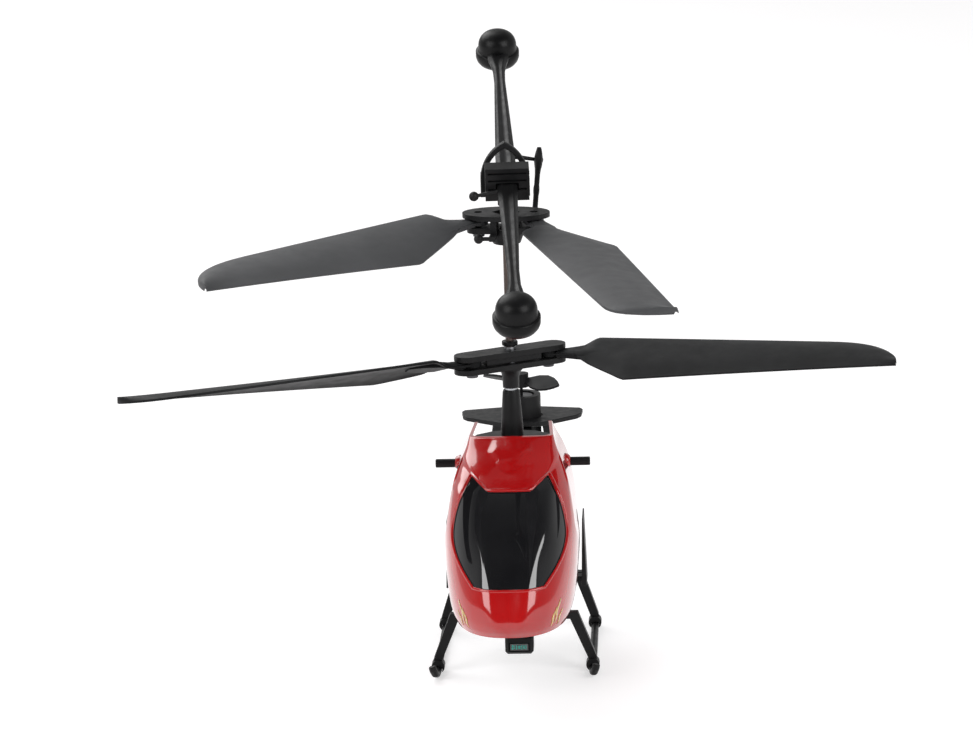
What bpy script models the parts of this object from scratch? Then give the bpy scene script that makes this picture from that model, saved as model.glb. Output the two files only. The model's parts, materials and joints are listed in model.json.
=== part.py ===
"""Coaxial micro helicopter, a radio-controlled toy: every piece as its own closed solid.

The ground is z = 0, the nose points to -Y and the tail to +Y. Both rotors turn about the mast,
which stands at MAST on the plan. Each moving body hangs from an empty that sits on its joint's
axis, and the pieces are drawn in that empty's own axes.
"""

import math

import bmesh
import bpy
from mathutils import Matrix, Vector

MM = 0.001
GAP = 0.3 * MM

# Plan place of the mast, which puts the middle of the whole object on the origin.
MAST = Vector((-0.57, -16.7, 0.0)) * MM

# Heights of the main levels above the ground.
LOWER_HUB_Z = 72.1 * MM
UPPER_PLATE_Z = 107.6 * MM
HUB_PIVOT_Z = 105.4 * MM
FLYBAR_Z = 116.8 * MM

# How the rotors and the flybar stand at rest.
LOWER_HUB_TURN = math.radians(29.5)
LOWER_RIGHT_TURN = math.radians(-13.6)
LOWER_LEFT_TURN = math.radians(206.0)
UPPER_HUB_TURN = math.radians(-3.5)
UPPER_HUB_TILT = math.radians(2.5)
UPPER_RIGHT_TURN = math.radians(-72.4)
UPPER_LEFT_TURN = math.radians(223.0)
FLYBAR_TURN = math.radians(3.85)
FLYBAR_TILT = math.radians(20.0)
FLYBAR_SLIP = 0.35 * MM

# Each soft blade has its own set: how far its tip stands up, its pitch at root and tip,
# and where the rounding of its tip begins.
LOWER_RIGHT_SET = (math.radians(2.0), math.radians(21.0), math.radians(7.0), 66.0 * MM)
LOWER_LEFT_SET = (math.radians(0.8), math.radians(28.0), math.radians(12.0), 66.0 * MM)
UPPER_RIGHT_SET = (math.radians(-1.2), math.radians(4.0), math.radians(1.0), 75.0 * MM)
UPPER_LEFT_SET = (math.radians(1.2), math.radians(24.0), math.radians(4.5), 62.0 * MM)

# Blades, measured from the screw that holds them.
BLADE_LENGTH = 85.5 * MM
BLADE_LEAD = 6.2 * MM
BLADE_TRAIL_ROOT = 12.0 * MM
BLADE_TRAIL_TIP = 8.0 * MM
BLADE_NECK = 2.1 * MM
BLADE_THICKNESS = 1.0 * MM
EYE_RADIUS = 2.3 * MM
EYE_HEIGHT = 1.5 * MM
SCREW_RADIUS = 0.7 * MM
SCREW_HOLE = 0.95 * MM

# Shafts: the inner one turns the upper rotor, the tube around it turns the lower rotor.
INNER_SHAFT_R = 1.0 * MM
OUTER_SHAFT_BORE = 1.15 * MM
OUTER_SHAFT_R = 1.4 * MM
BUSH_R = 1.85 * MM

# Gears: both main gears are alike, and each motor's pinion drives one of them.
GEAR_MODULE = 0.3 * MM
GEAR_TEETH = 54
PINION_TEETH = 9
GEAR_DISTANCE = GEAR_MODULE * (GEAR_TEETH + PINION_TEETH) / 2 + 0.05 * MM
OUTER_GEAR_Z = (46.6 * MM, 48.4 * MM)
INNER_GEAR_Z = (42.4 * MM, 44.2 * MM)
MOTOR_SHAFT_R = 0.4 * MM
MOTOR_R = 3.5 * MM
MOTOR_Z = (19.0 * MM, 37.4 * MM)

# Frame levels.
TRAY_Z = (14.9 * MM, 16.4 * MM)
LOWER_DECK_Z = (38.0 * MM, 39.8 * MM)
UPPER_DECK_Z = (50.2 * MM, 51.8 * MM)
CHEEK_X = (9.2 * MM, 10.4 * MM)

# Pins that the canopy clips on to.
PIN_Y = -2.0 * MM
PIN_Z = 47.0 * MM
PIN_R = 1.05 * MM

# Landing gear.
SKID_X = 18.4 * MM
SKID_R = 0.9 * MM
FRONT_STRUT_Y = -18.4 * MM
REAR_STRUT_Y = 14.8 * MM
STRUT_WIDTH = 1.9 * MM

# Tail.
TAIL_Y = 105.0 * MM
BOOM_ROOT_Y = 13.5 * MM
TAIL_TURN = math.radians(1.2)
BOOM_START_Z = 31.0 * MM
BOOM_END_Z = 27.7 * MM
TAIL_PLANE_Z = 30.9 * MM
TAIL_ROTOR_Z = 41.2 * MM
TAIL_ROTOR_TURN = math.radians(-30.0)

# Flybar.
FLYBAR_REACH = 61.5 * MM
LINK_BALL_R = 1.15 * MM
FLYBAR_BALL = Vector((7.9, 8.0, -1.3)) * MM
HUB_BALL = Vector((5.8, 8.0, -2.4)) * MM

# Cross pin that the upper hub rocks on, and the two lugs of the clamp that it passes through.
HUB_PIN_R = 0.45 * MM
HUB_LUG_X = (1.9 * MM, 3.3 * MM)


# ---------------------------------------------------------------- scene and materials

def clear_scene():
    for item in list(bpy.data.objects):
        bpy.data.objects.remove(item, do_unlink=True)


def make_material(name, colour, roughness, metallic=0.0):
    material = bpy.data.materials.new(name)
    material.use_nodes = True
    shader = material.node_tree.nodes["Principled BSDF"]
    shader.inputs["Base Color"].default_value = (*colour, 1.0)
    shader.inputs["Roughness"].default_value = roughness
    shader.inputs["Metallic"].default_value = metallic
    return material


def make_materials():
    return {
        "red_shell": make_material("red_shell", (0.55, 0.010, 0.008), 0.18),
        "dark_glass": make_material("dark_glass", (0.008, 0.008, 0.009), 0.08),
        "black_frame": make_material("black_frame", (0.012, 0.012, 0.013), 0.45),
        "blade_plastic": make_material("blade_plastic", (0.035, 0.036, 0.038), 0.42),
        "gloss_black": make_material("gloss_black", (0.010, 0.010, 0.011), 0.16),
        "gear_plastic": make_material("gear_plastic", (0.70, 0.69, 0.64), 0.45),
        "steel": make_material("steel", (0.55, 0.56, 0.58), 0.28, 1.0),
        "brass": make_material("brass", (0.62, 0.44, 0.18), 0.30, 1.0),
        "copper_shaft": make_material("copper_shaft", (0.20, 0.10, 0.07), 0.35, 0.6),
        "board_green": make_material("board_green", (0.02, 0.16, 0.12), 0.40),
        "battery_wrap": make_material("battery_wrap", (0.25, 0.28, 0.32), 0.35),
    }


# ---------------------------------------------------------------- shape helpers

def new_object(name, mesh):
    item = bpy.data.objects.new(name, mesh)
    bpy.context.scene.collection.objects.link(item)
    return item


def from_bmesh(name, bm):
    mesh = bpy.data.meshes.new(name)
    bmesh.ops.recalc_face_normals(bm, faces=bm.faces[:])
    bm.to_mesh(mesh)
    bm.free()
    return new_object(name, mesh)


def baked(item):
    """Replace an object by the mesh that its modifiers or its bevel make of it."""
    bpy.context.view_layer.update()
    graph = bpy.context.evaluated_depsgraph_get()
    mesh = bpy.data.meshes.new_from_object(item.evaluated_get(graph))
    bm = bmesh.new()
    bm.from_mesh(mesh)
    bmesh.ops.remove_doubles(bm, verts=bm.verts[:], dist=0.001 * MM)
    bmesh.ops.recalc_face_normals(bm, faces=bm.faces[:])
    bm.to_mesh(mesh)
    bm.free()
    name = item.name
    bpy.data.objects.remove(item, do_unlink=True)
    return new_object(name, mesh)


def boolean(target, tools, operation):
    for tool in tools:
        modifier = target.modifiers.new(operation.lower(), "BOOLEAN")
        modifier.operation = operation
        modifier.object = tool
    result = baked(target)
    for tool in tools:
        bpy.data.objects.remove(tool, do_unlink=True)
    return result


def fuse(target, *tools):
    return boolean(target, tools, "UNION")


def carve(target, *tools):
    return boolean(target, tools, "DIFFERENCE")


def moved(item, location=(0.0, 0.0, 0.0), turn_x=0.0, turn_y=0.0, turn_z=0.0):
    spin = (
        Matrix.Rotation(turn_z, 4, "Z") @ Matrix.Rotation(turn_y, 4, "Y") @ Matrix.Rotation(turn_x, 4, "X")
    )
    item.data.transform(Matrix.Translation(Vector(location)) @ spin)
    return item


def box(name, low, high, bevel=0.0):
    low = Vector(low)
    high = Vector(high)
    bm = bmesh.new()
    bmesh.ops.create_cube(bm, size=1.0)
    bmesh.ops.scale(bm, vec=high - low, verts=bm.verts[:])
    bmesh.ops.translate(bm, vec=(low + high) / 2, verts=bm.verts[:])
    if bevel:
        bmesh.ops.bevel(
            bm, geom=bm.edges[:], offset=bevel, segments=1, affect="EDGES", clamp_overlap=True
        )
    return from_bmesh(name, bm)


def rod(name, start, end, radius, segments=16, end_radius=None):
    """A cylinder or cone with flat ends between two points."""
    start = Vector(start)
    end = Vector(end)
    bm = bmesh.new()
    bmesh.ops.create_cone(
        bm,
        cap_ends=True,
        segments=segments,
        radius1=radius,
        radius2=radius if end_radius is None else end_radius,
        depth=(end - start).length,
    )
    aim = (end - start).to_track_quat("Z", "Y").to_matrix().to_4x4()
    bmesh.ops.transform(bm, matrix=Matrix.Translation((start + end) / 2) @ aim, verts=bm.verts[:])
    return from_bmesh(name, bm)


def ball(name, centre, radius):
    bm = bmesh.new()
    bmesh.ops.create_uvsphere(bm, u_segments=12, v_segments=8, radius=radius)
    bmesh.ops.translate(bm, vec=Vector(centre), verts=bm.verts[:])
    return from_bmesh(name, bm)


def prism(name, outline, low, high, axis="Z"):
    """A flat outline pushed from low to high along Z, or along Y for an outline in X and Z."""
    bm = bmesh.new()
    ring = []
    for u, v in outline:
        ring.append(bm.verts.new((u, v, low) if axis == "Z" else (u, low, v)))
    face = bm.faces.new(ring)
    grown = bmesh.ops.extrude_face_region(bm, geom=[face])
    tops = [part for part in grown["geom"] if isinstance(part, bmesh.types.BMVert)]
    push = Vector((0.0, 0.0, high - low)) if axis == "Z" else Vector((0.0, high - low, 0.0))
    bmesh.ops.translate(bm, vec=push, verts=tops)
    return from_bmesh(name, bm)


def turned(name, profile, segments=24, bore=False):
    """A profile of (radius, height) pairs turned about Z; a bored one closes on itself."""
    mesh = bpy.data.meshes.new(name)
    edges = [(i, i + 1) for i in range(len(profile) - 1)]
    if bore:
        edges.append((len(profile) - 1, 0))
    mesh.from_pydata([(r, 0.0, z) for r, z in profile], edges, [])
    item = new_object(name, mesh)
    screw = item.modifiers.new("turn", "SCREW")
    screw.angle = 2 * math.pi
    screw.steps = segments
    screw.render_steps = segments
    screw.use_merge_vertices = True
    screw.merge_threshold = 0.001 * MM
    return baked(item)


def wire(name, points, radius, resolution=3):
    """A round bar along the points, with flat ends."""
    curve = bpy.data.curves.new(name, "CURVE")
    curve.dimensions = "3D"
    curve.bevel_depth = radius
    curve.bevel_resolution = resolution
    curve.use_fill_caps = True
    spline = curve.splines.new("POLY")
    spline.points.add(len(points) - 1)
    for slot, point in zip(spline.points, points):
        slot.co = (*point, 1.0)
    return baked(new_object(name, curve))


def arc(centre, radius, start, end, steps):
    """Points of a circle's arc in a plane, from one angle to another in degrees."""
    points = []
    for i in range(steps + 1):
        angle = math.radians(start + (end - start) * i / steps)
        points.append((centre[0] + radius * math.cos(angle), centre[1] + radius * math.sin(angle)))
    return points


def capsule(half_length, radius, steps=8):
    right = arc((half_length - radius, 0.0), radius, -90, 90, steps)
    left = arc((radius - half_length, 0.0), radius, 90, 270, steps)
    return right + left


def loft(name, rings):
    """Skin between closed rings of equal counts, with a face over each end."""
    bm = bmesh.new()
    rows = [[bm.verts.new(point) for point in ring] for ring in rings]
    count = len(rows[0])
    for near, far in zip(rows, rows[1:]):
        for i in range(count):
            j = (i + 1) % count
            bm.faces.new((near[i], near[j], far[j], far[i]))
    bm.faces.new(rows[0])
    bm.faces.new(rows[-1])
    return from_bmesh(name, bm)


# ---------------------------------------------------------------- canopy

def lerp_table(rows, key, column):
    """Straight-line reading of a small table of design stations."""
    for near, far in zip(rows, rows[1:]):
        if key <= far[0] or far is rows[-1]:
            share = (key - near[0]) / (far[0] - near[0])
            share = min(max(share, 0.0), 1.0)
            return near[column] + (far[column] - near[column]) * share
    return rows[-1][column]


# Height, nose line, half width, depth of the rounded front, squareness, rear edge (all mm but the
# squareness).
CANOPY_STATIONS = (
    (16.8, -45.6, 13.4, 24.0, 2.4, -4.0),
    (18.5, -46.6, 14.2, 26.0, 2.4, -1.0),
    (21.0, -47.0, 14.8, 27.0, 2.4, 1.0),
    (25.0, -45.8, 15.3, 27.0, 2.5, 3.0),
    (30.0, -42.4, 15.7, 27.0, 2.5, 3.5),
    (36.0, -37.4, 15.75, 25.0, 2.5, 2.5),
    (41.0, -32.6, 15.1, 24.0, 2.6, 1.5),
    (46.4, -26.0, 13.9, 22.0, 2.8, 3.0),
    (50.0, -18.6, 12.3, 20.0, 3.2, 6.5),
    (52.6, -12.6, 10.9, 18.0, 4.0, 7.0),
    (54.8, -8.0, 10.0, 14.5, 6.0, 7.0),
)
CANOPY_SKIN = 0.9 * MM


def canopy_row(height, half_steps):
    """One level line of the shell, from the left rear edge round the nose to the right."""
    nose, width, depth, square, rear = (
        lerp_table(CANOPY_STATIONS, height, column) for column in range(1, 6)
    )
    shoulder = nose + depth
    rear = max(rear, shoulder + 0.5)
    side = [(width, rear), (width, (rear + shoulder) / 2)]
    for i in range(half_steps + 1):
        angle = math.pi / 2 * i / half_steps
        across = width * math.cos(angle) ** (2 / square)
        along = shoulder - depth * math.sin(angle) ** (2 / square)
        side.append((across, along))
    left = [(-x, y) for x, y in side]
    right = [(x, y) for x, y in reversed(side[:-1])]
    return [Vector((x * MM, y * MM, height * MM)) for x, y in left + right]


def canopy_shell(name):
    heights = [station[0] for station in CANOPY_STATIONS]
    bm = bmesh.new()
    rows = [[bm.verts.new(point) for point in canopy_row(height, 9)] for height in heights]
    for low, high in zip(rows, rows[1:]):
        for i in range(len(low) - 1):
            bm.faces.new((low[i], low[i + 1], high[i + 1], high[i]))
    item = from_bmesh(name, bm)
    skin = item.modifiers.new("skin", "SOLIDIFY")
    skin.thickness = CANOPY_SKIN
    skin.offset = -1.0 if shell_faces_out(item.data) else 1.0
    return baked(item)


def shell_faces_out(mesh):
    lowest = min(mesh.polygons, key=lambda face: face.center.y)
    return lowest.normal.y < 0.0


def windshield_outline(inset):
    """The pane seen along the nose: a flat sill, bowed sides and a trapezoid under the scoop."""
    right = [
        (8.0, 28.0),
        (10.6, 31.0),
        (12.4, 34.0),
        (13.1, 37.0),
        (12.7, 40.5),
        (11.4, 44.4),
        (8.8, 48.6),
        (5.0, 46.2),
    ]
    centre = Vector((0.0, 38.0))
    points = []
    for x, z in right:
        out = Vector((x, z)) - centre
        points.append(centre + out * (1.0 - inset / out.length))
    left = [Vector((-point.x, point.y)) for point in reversed(points)]
    return [(point.x * MM, point.y * MM) for point in points + left]


def build_canopy():
    pane_front = -60.0 * MM
    pane_back = -13.0 * MM
    shell = canopy_shell("canopy")
    opening = prism("opening", windshield_outline(0.0), pane_front, pane_back, "Y")
    holes = rod("holes", (-20 * MM, PIN_Y, PIN_Z), (20 * MM, PIN_Y, PIN_Z), PIN_R + 0.35 * MM)
    canopy = carve(shell, opening, holes)
    pane = canopy_shell("windshield")
    keep = prism("keep", windshield_outline(0.3), pane_front, pane_back, "Y")
    windshield = boolean(pane, [keep], "INTERSECT")
    return canopy, windshield


# ---------------------------------------------------------------- frame and drive

def build_gear_frame():
    deck = capsule(13.4 * MM, 10.4 * MM, 6)
    deck = [(y, x) for x, y in deck]
    lower = prism("gear_frame", deck, *LOWER_DECK_Z)
    top = prism("top", [(x * 0.98, y * 0.78) for x, y in deck], *UPPER_DECK_Z)
    cheeks = []
    for side in (-1, 1):
        edges = sorted((side * CHEEK_X[0], side * CHEEK_X[1]))
        cheeks.append(
            box("cheek", (edges[0], -3 * MM, LOWER_DECK_Z[0] + 0.5 * MM), (edges[1], 3 * MM, UPPER_DECK_Z[1] - 0.5 * MM))
        )
    boss = rod("boss", (0, 0, 36 * MM), (0, 0, LOWER_DECK_Z[0] + 1 * MM), 2.8 * MM)
    frame = fuse(lower, top, *cheeks, boss)
    bush_hole = rod("bush_hole", (0, 0, 35 * MM), (0, 0, 41 * MM), BUSH_R + 0.1 * MM)
    sleeve_hole = rod("sleeve_hole", (0, 0, 49 * MM), (0, 0, 53 * MM), 2.85 * MM)
    shaft_holes = [
        rod("shaft_hole", (0, side * GEAR_DISTANCE, 37 * MM), (0, side * GEAR_DISTANCE, 41 * MM), 1.9 * MM)
        for side in (-1, 1)
    ]
    return carve(frame, bush_hole, sleeve_hole, *shaft_holes)


def build_belly_tray():
    outline = [(-9, 16.6), (-9, -28), (-4.5, -38.5), (4.5, -38.5), (9, -28), (9, 16.6)]
    plate = prism("belly_tray", [(x * MM, y * MM) for x, y in reversed(outline)], *TRAY_Z)
    column = box("column", (-2.2 * MM, -2 * MM, TRAY_Z[1] - 0.5 * MM), (2.2 * MM, 2 * MM, 35.6 * MM))
    cups = [
        rod("cup", (0, side * GEAR_DISTANCE, TRAY_Z[1] - 0.4 * MM), (0, side * GEAR_DISTANCE, 18.6 * MM), 3.0 * MM)
        for side in (-1, 1)
    ]
    tail_block = box("tail_block", (-3 * MM, 13.3 * MM, TRAY_Z[1] - 0.5 * MM), (3 * MM, 16.5 * MM, 35 * MM))
    tray = fuse(plate, column, *cups, tail_block)
    boom_hole = rod("boom_hole", (0, 12 * MM, BOOM_START_Z), (0, 18 * MM, BOOM_START_Z), 1.85 * MM)
    return carve(tray, boom_hole)


def build_mast_sleeve():
    foot = UPPER_DECK_Z[0] + 0.2 * MM
    profile = [
        (1.8, 64.5),
        (2.05, 64.1),
        (2.5, 58.0),
        (2.7, 54.0),
        (2.7, 52.0),
        (2.7, foot / MM),
        (1.6, foot / MM),
        (1.6, 64.5),
    ]
    return turned("mast_sleeve", [(r * MM, z * MM) for r, z in profile], 24, bore=True)


def build_bush(name, low, high, radius, bore):
    profile = [(radius, high), (radius, low), (bore, low), (bore, high)]
    return turned(name, profile, 24, bore=True)


def build_motor(name):
    can = turned(
        name,
        [
            (0.0, MOTOR_Z[1]),
            (1.2 * MM, MOTOR_Z[1]),
            (1.2 * MM, MOTOR_Z[1] - 0.6 * MM),
            (3.1 * MM, MOTOR_Z[1] - 0.6 * MM),
            (MOTOR_R, MOTOR_Z[1] - 1.0 * MM),
            (MOTOR_R, MOTOR_Z[0] + 0.4 * MM),
            (3.1 * MM, MOTOR_Z[0]),
            (0.0, MOTOR_Z[0]),
        ],
        20,
    )
    socket = rod("socket", (0, 0, MOTOR_Z[1] - 3 * MM), (0, 0, MOTOR_Z[1] + 1 * MM), MOTOR_SHAFT_R + 0.15 * MM, 12)
    return carve(can, socket)


def gear_outline(teeth, module, root_depth, tip_height, thickness):
    """Straight-sided teeth: each has two root points and two tip points."""
    pitch_radius = teeth * module / 2
    pitch = 2 * math.pi / teeth
    points = []
    for i in range(teeth):
        middle = i * pitch
        root = pitch_radius - root_depth
        tip = pitch_radius + tip_height
        for angle, radius in (
            (-thickness * 0.62, root),
            (-thickness * 0.26, tip),
            (thickness * 0.26, tip),
            (thickness * 0.62, root),
        ):
            points.append((radius * math.cos(middle + angle * pitch), radius * math.sin(middle + angle * pitch)))
    return points


def build_main_gear(name, levels, bore):
    outline = gear_outline(GEAR_TEETH, GEAR_MODULE, 0.36 * MM, 0.22 * MM, 0.72)
    wheel = prism(name, outline, *levels)
    hole = rod("bore", (0, 0, levels[0] - MM), (0, 0, levels[1] + MM), bore, 24)
    return carve(wheel, hole)


def build_pinion(name, levels):
    outline = gear_outline(PINION_TEETH, GEAR_MODULE, 0.36 * MM, 0.19 * MM, 0.60)
    wheel = prism(name, outline, levels[0] - 0.3 * MM, levels[1] + 0.3 * MM)
    shaft = rod("shaft", (0, 0, MOTOR_Z[1] - 2.6 * MM), (0, 0, levels[1] + 0.6 * MM), MOTOR_SHAFT_R, 12)
    return fuse(wheel, shaft)


# ---------------------------------------------------------------- rotors

def blade_edges(x, trail_full, tip_start):
    """Leading and trailing edge across the blade at a distance from its screw."""
    neck_end = 7.0 * MM
    lead_full = 11.0 * MM
    if x <= neck_end:
        return BLADE_NECK, -BLADE_NECK
    lead_share = min((x - neck_end) / (lead_full - neck_end), 1.0)
    lead = BLADE_NECK + (BLADE_LEAD - BLADE_NECK) * lead_share
    if x < trail_full:
        share = (x - neck_end) / (trail_full - neck_end)
        trail = BLADE_NECK + (BLADE_TRAIL_ROOT - BLADE_NECK) * share
    else:
        share = (x - trail_full) / (BLADE_LENGTH - trail_full)
        trail = BLADE_TRAIL_ROOT + (BLADE_TRAIL_TIP - BLADE_TRAIL_ROOT) * share
    if x > tip_start:
        run = min((x - tip_start) / (BLADE_LENGTH - tip_start), 1.0)
        lead = -trail + (BLADE_LEAD + trail) * (1.0 - run ** 3.0) ** 0.6
        lead = max(lead, -trail + 0.8 * MM)
    return lead, -trail


def blade_ring(x, hand, pitches, trail_full, tip_start):
    lead, trail = blade_edges(x, trail_full, tip_start)
    share = min(max((x - 7.0 * MM) / (BLADE_LENGTH - 7.0 * MM), 0.0), 1.0)
    twist_in = min(max((x - 5.0 * MM) / (6.0 * MM), 0.0), 1.0)
    pitch = (pitches[0] + (pitches[1] - pitches[0]) * share) * twist_in
    camber = 0.9 * MM * twist_in
    half = BLADE_THICKNESS / 2
    steps = 5
    top = []
    bottom = []
    for i in range(steps + 1):
        chord = i / steps
        across = lead + (trail - lead) * chord
        arch = camber * (1.0 - (2.0 * chord - 1.0) ** 2)
        thick = half * (0.45 + 0.55 * math.sin(math.pi * min(max(chord, 0.0), 1.0)))
        for side, row in ((1, top), (-1, bottom)):
            lift = arch + side * thick
            y = across * math.cos(pitch) - lift * math.sin(pitch)
            z = across * math.sin(pitch) + lift * math.cos(pitch)
            row.append(Vector((x, y * hand, z)))
    return top + bottom[::-1]


def build_blade(name, hand, blade_set, trail_full):
    """hand is 1 for a blade that leads with +Y and -1 for its mirror image."""
    stations = [1.0, 5.0, 7.0, 9.0, 11.0, 15.0, trail_full / MM]
    stations += [34.0, 50.0, 68.0, 74.0, 79.0, 82.5, 84.6, 85.5]
    rise, pitch_root, pitch_tip, tip_start = blade_set
    pitches = (pitch_root, pitch_tip)
    wing = loft(name, [blade_ring(x * MM, hand, pitches, trail_full, tip_start) for x in stations])
    wing = moved(wing, turn_y=-rise)
    eye = rod("eye", (0, 0, -EYE_HEIGHT / 2), (0, 0, EYE_HEIGHT / 2), EYE_RADIUS, 20)
    blade = fuse(wing, eye)
    hole = rod("hole", (0, 0, -2 * MM), (0, 0, 2 * MM), SCREW_HOLE, 16)
    return carve(blade, hole)


LOWER_SCREW_X = 10.2 * MM
UPPER_SCREW_X = 6.6 * MM


def build_screw(name, x, low, high):
    """A self-tapping screw stood on its head: the head is the low end."""
    head = rod(name, (x, 0, low), (x, 0, low + 0.7 * MM), 1.4 * MM, 14)
    shank = rod("shank", (x, 0, low + 0.4 * MM), (x, 0, high), SCREW_RADIUS, 14)
    return fuse(head, shank)


def build_lower_hub():
    """Two capsule-shaped clamps; the lower one carries the neck over the outer shaft."""
    half = 14.6 * MM
    radius = 3.1 * MM
    top = prism("lower_hub_top", capsule(half, radius), 0.95 * MM, 2.25 * MM)
    web = box("web", (-7.3 * MM, -2.2 * MM, -0.6 * MM), (7.3 * MM, 2.2 * MM, 1.4 * MM))
    top = fuse(top, web)
    shaft_hole = rod("shaft_hole", (0, 0, -3 * MM), (0, 0, 4 * MM), OUTER_SHAFT_R + 0.1 * MM, 24)
    holes = [rod("h", (s * LOWER_SCREW_X, 0, 0), (s * LOWER_SCREW_X, 0, 1.9 * MM), SCREW_HOLE, 14) for s in (-1, 1)]
    top = carve(top, shaft_hole, *holes)
    bottom = prism("lower_hub_bottom", capsule(half, radius), -2.25 * MM, -0.95 * MM)
    neck = turned(
        "neck",
        [
            (0.0, -1.6 * MM),
            (3.0 * MM, -1.6 * MM),
            (3.0 * MM, -2.6 * MM),
            (2.3 * MM, -3.4 * MM),
            (2.0 * MM, -4.6 * MM),
            (1.95 * MM, -7.1 * MM),
            (0.0, -7.1 * MM),
        ],
        24,
    )
    bottom = fuse(bottom, neck)
    bore = rod("bore", (0, 0, -10 * MM), (0, 0, 1 * MM), OUTER_SHAFT_R + 0.1 * MM, 24)
    holes = [rod("h", (s * LOWER_SCREW_X, 0, -4 * MM), (s * LOWER_SCREW_X, 0, 0), SCREW_HOLE, 14) for s in (-1, 1)]
    return top, carve(bottom, bore, *holes)


def build_upper_hub():
    """An oval plate with a diamond opening over a clamp whose collar goes round the shaft."""
    plate_top = UPPER_PLATE_Z - HUB_PIVOT_Z
    oval = [
        (10.4 * MM * math.cos(a), 5.6 * MM * math.sin(a))
        for a in (2 * math.pi * i / 28 for i in range(28))
    ]
    plate = prism("upper_hub_plate", oval, plate_top - 1.2 * MM, plate_top)
    studs = []
    for side in (-1, 1):
        centre = Vector((side * HUB_BALL.x, side * HUB_BALL.y, HUB_BALL.z))
        studs.append(ball("ball", centre, LINK_BALL_R))
        inner = centre - Vector((side * 3.2 * MM, 0, 0))
        studs.append(rod("neck", inner, centre, 0.5 * MM, 10))
        post = Vector((inner.x, side * 5.6 * MM, inner.z))
        studs.append(box(
            "post",
            (min(inner.x, post.x) - 0.7 * MM, min(inner.y + side * 0.6 * MM, side * 3.6 * MM), inner.z - 0.6 * MM),
            (max(inner.x, post.x) + 0.7 * MM, max(inner.y + side * 0.6 * MM, side * 3.6 * MM), inner.z + 0.6 * MM),
        ))
        studs.append(box(
            "drop",
            (inner.x - 0.7 * MM, min(side * 3.4 * MM, side * 4.8 * MM), inner.z - 0.6 * MM),
            (inner.x + 0.7 * MM, max(side * 3.4 * MM, side * 4.8 * MM), plate_top - 0.5 * MM),
        ))
    plate = fuse(plate, *studs)
    diamond = [(3.4 * MM, 0.0), (0.0, 3.7 * MM), (-3.4 * MM, 0.0), (0.0, -3.7 * MM)]
    opening = prism("diamond", diamond, plate_top - 3 * MM, plate_top + 1 * MM)
    holes = [
        rod("h", (s * UPPER_SCREW_X, 0, plate_top - 3 * MM), (s * UPPER_SCREW_X, 0, plate_top + MM), SCREW_HOLE, 14)
        for s in (-1, 1)
    ]
    plate = carve(plate, opening, *holes)
    clamp = prism("upper_hub_clamp", capsule(9.4 * MM, 2.7 * MM), -2.6 * MM, -1.2 * MM)
    collar = turned(
        "collar",
        [(0.0, -1.4 * MM), (3.9 * MM, -1.4 * MM), (3.9 * MM, -3.6 * MM), (3.3 * MM, -5.2 * MM), (0.0, -5.2 * MM)],
        24,
    )
    lugs = [
        box(
            "lug",
            (min(s * HUB_LUG_X[0], s * HUB_LUG_X[1]), -1.1 * MM, -2.0 * MM),
            (max(s * HUB_LUG_X[0], s * HUB_LUG_X[1]), 1.1 * MM, 0.75 * MM),
        )
        for s in (-1, 1)
    ]
    clamp = fuse(clamp, collar, *lugs)
    slot = box("slot", (-1.3 * MM, -2.9 * MM, -7 * MM), (1.3 * MM, 2.9 * MM, 0))
    pin_hole = rod("pin_hole", (-4 * MM, 0, 0), (4 * MM, 0, 0), HUB_PIN_R + 0.15 * MM, 12)
    holes = [
        rod("h", (s * UPPER_SCREW_X, 0, -4 * MM), (s * UPPER_SCREW_X, 0, 0), SCREW_HOLE, 14) for s in (-1, 1)
    ]
    return plate, carve(clamp, slot, pin_hole, *holes)


def ogive(half_width, foot, shoulder, apex, steps=6):
    """A pointed arch: straight legs to the shoulder, then a circle's arc to the apex each side."""
    rise = apex - shoulder
    radius = (rise * rise + half_width * half_width) / (2 * half_width)
    reach = math.degrees(math.asin(min(rise / radius, 1.0)))
    if rise > radius:
        reach = 180.0 - reach
    right = arc((half_width - radius, shoulder), radius, 0, reach, steps)
    points = [(half_width, foot)] + right
    left = [(-x, z) for x, z in reversed(points[:-1])]
    return points + left


def build_shaft_head():
    """The pointed hoop on top of the inner shaft, which the flybar passes through."""
    hoop = prism("shaft_head", ogive(5.8 * MM, -5.4 * MM, -1.5 * MM, 7.6 * MM), -1.2 * MM, 1.2 * MM, "Y")
    window = prism("window", ogive(4.5 * MM, -3.9 * MM, -1.5 * MM, 6.1 * MM), -3 * MM, 3 * MM, "Y")
    hoop = carve(hoop, window)
    boss = rod("boss", (0, 0, -7.6 * MM), (0, 0, -4.4 * MM), 1.9 * MM, 20)
    head = fuse(hoop, boss)
    bore = rod("bore", (0, 0, -9 * MM), (0, 0, -5.2 * MM), INNER_SHAFT_R + 0.1 * MM, 20)
    pin_hole = rod("pin_hole", (-8 * MM, 0, 0), (8 * MM, 0, 0), 0.62 * MM, 12)
    return carve(head, bore, pin_hole)


def flybar_half(name, side):
    """One arm of the bar: wide at the middle, slim, then wide again at its weight."""
    rings = []
    for reach, half in ((2.0, 2.35), (8.0, 2.35), (30.0, 1.75), (44.0, 1.35), (50.0, 1.45), (55.6, 2.4)):
        y = side * reach * MM
        half = half * MM
        ridge = half * 0.45
        rings.append([
            Vector((-half, y, -0.6 * MM)),
            Vector((half, y, -0.6 * MM)),
            Vector((half, y, 0.35 * MM)),
            Vector((ridge + 0.3 * MM, y, 0.35 * MM)),
            Vector((ridge, y, 0.8 * MM)),
            Vector((0.0, y, 0.4 * MM)),
            Vector((-ridge, y, 0.8 * MM)),
            Vector((-ridge - 0.3 * MM, y, 0.35 * MM)),
            Vector((-half, y, 0.35 * MM)),
        ])
    return loft(name, rings)


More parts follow.
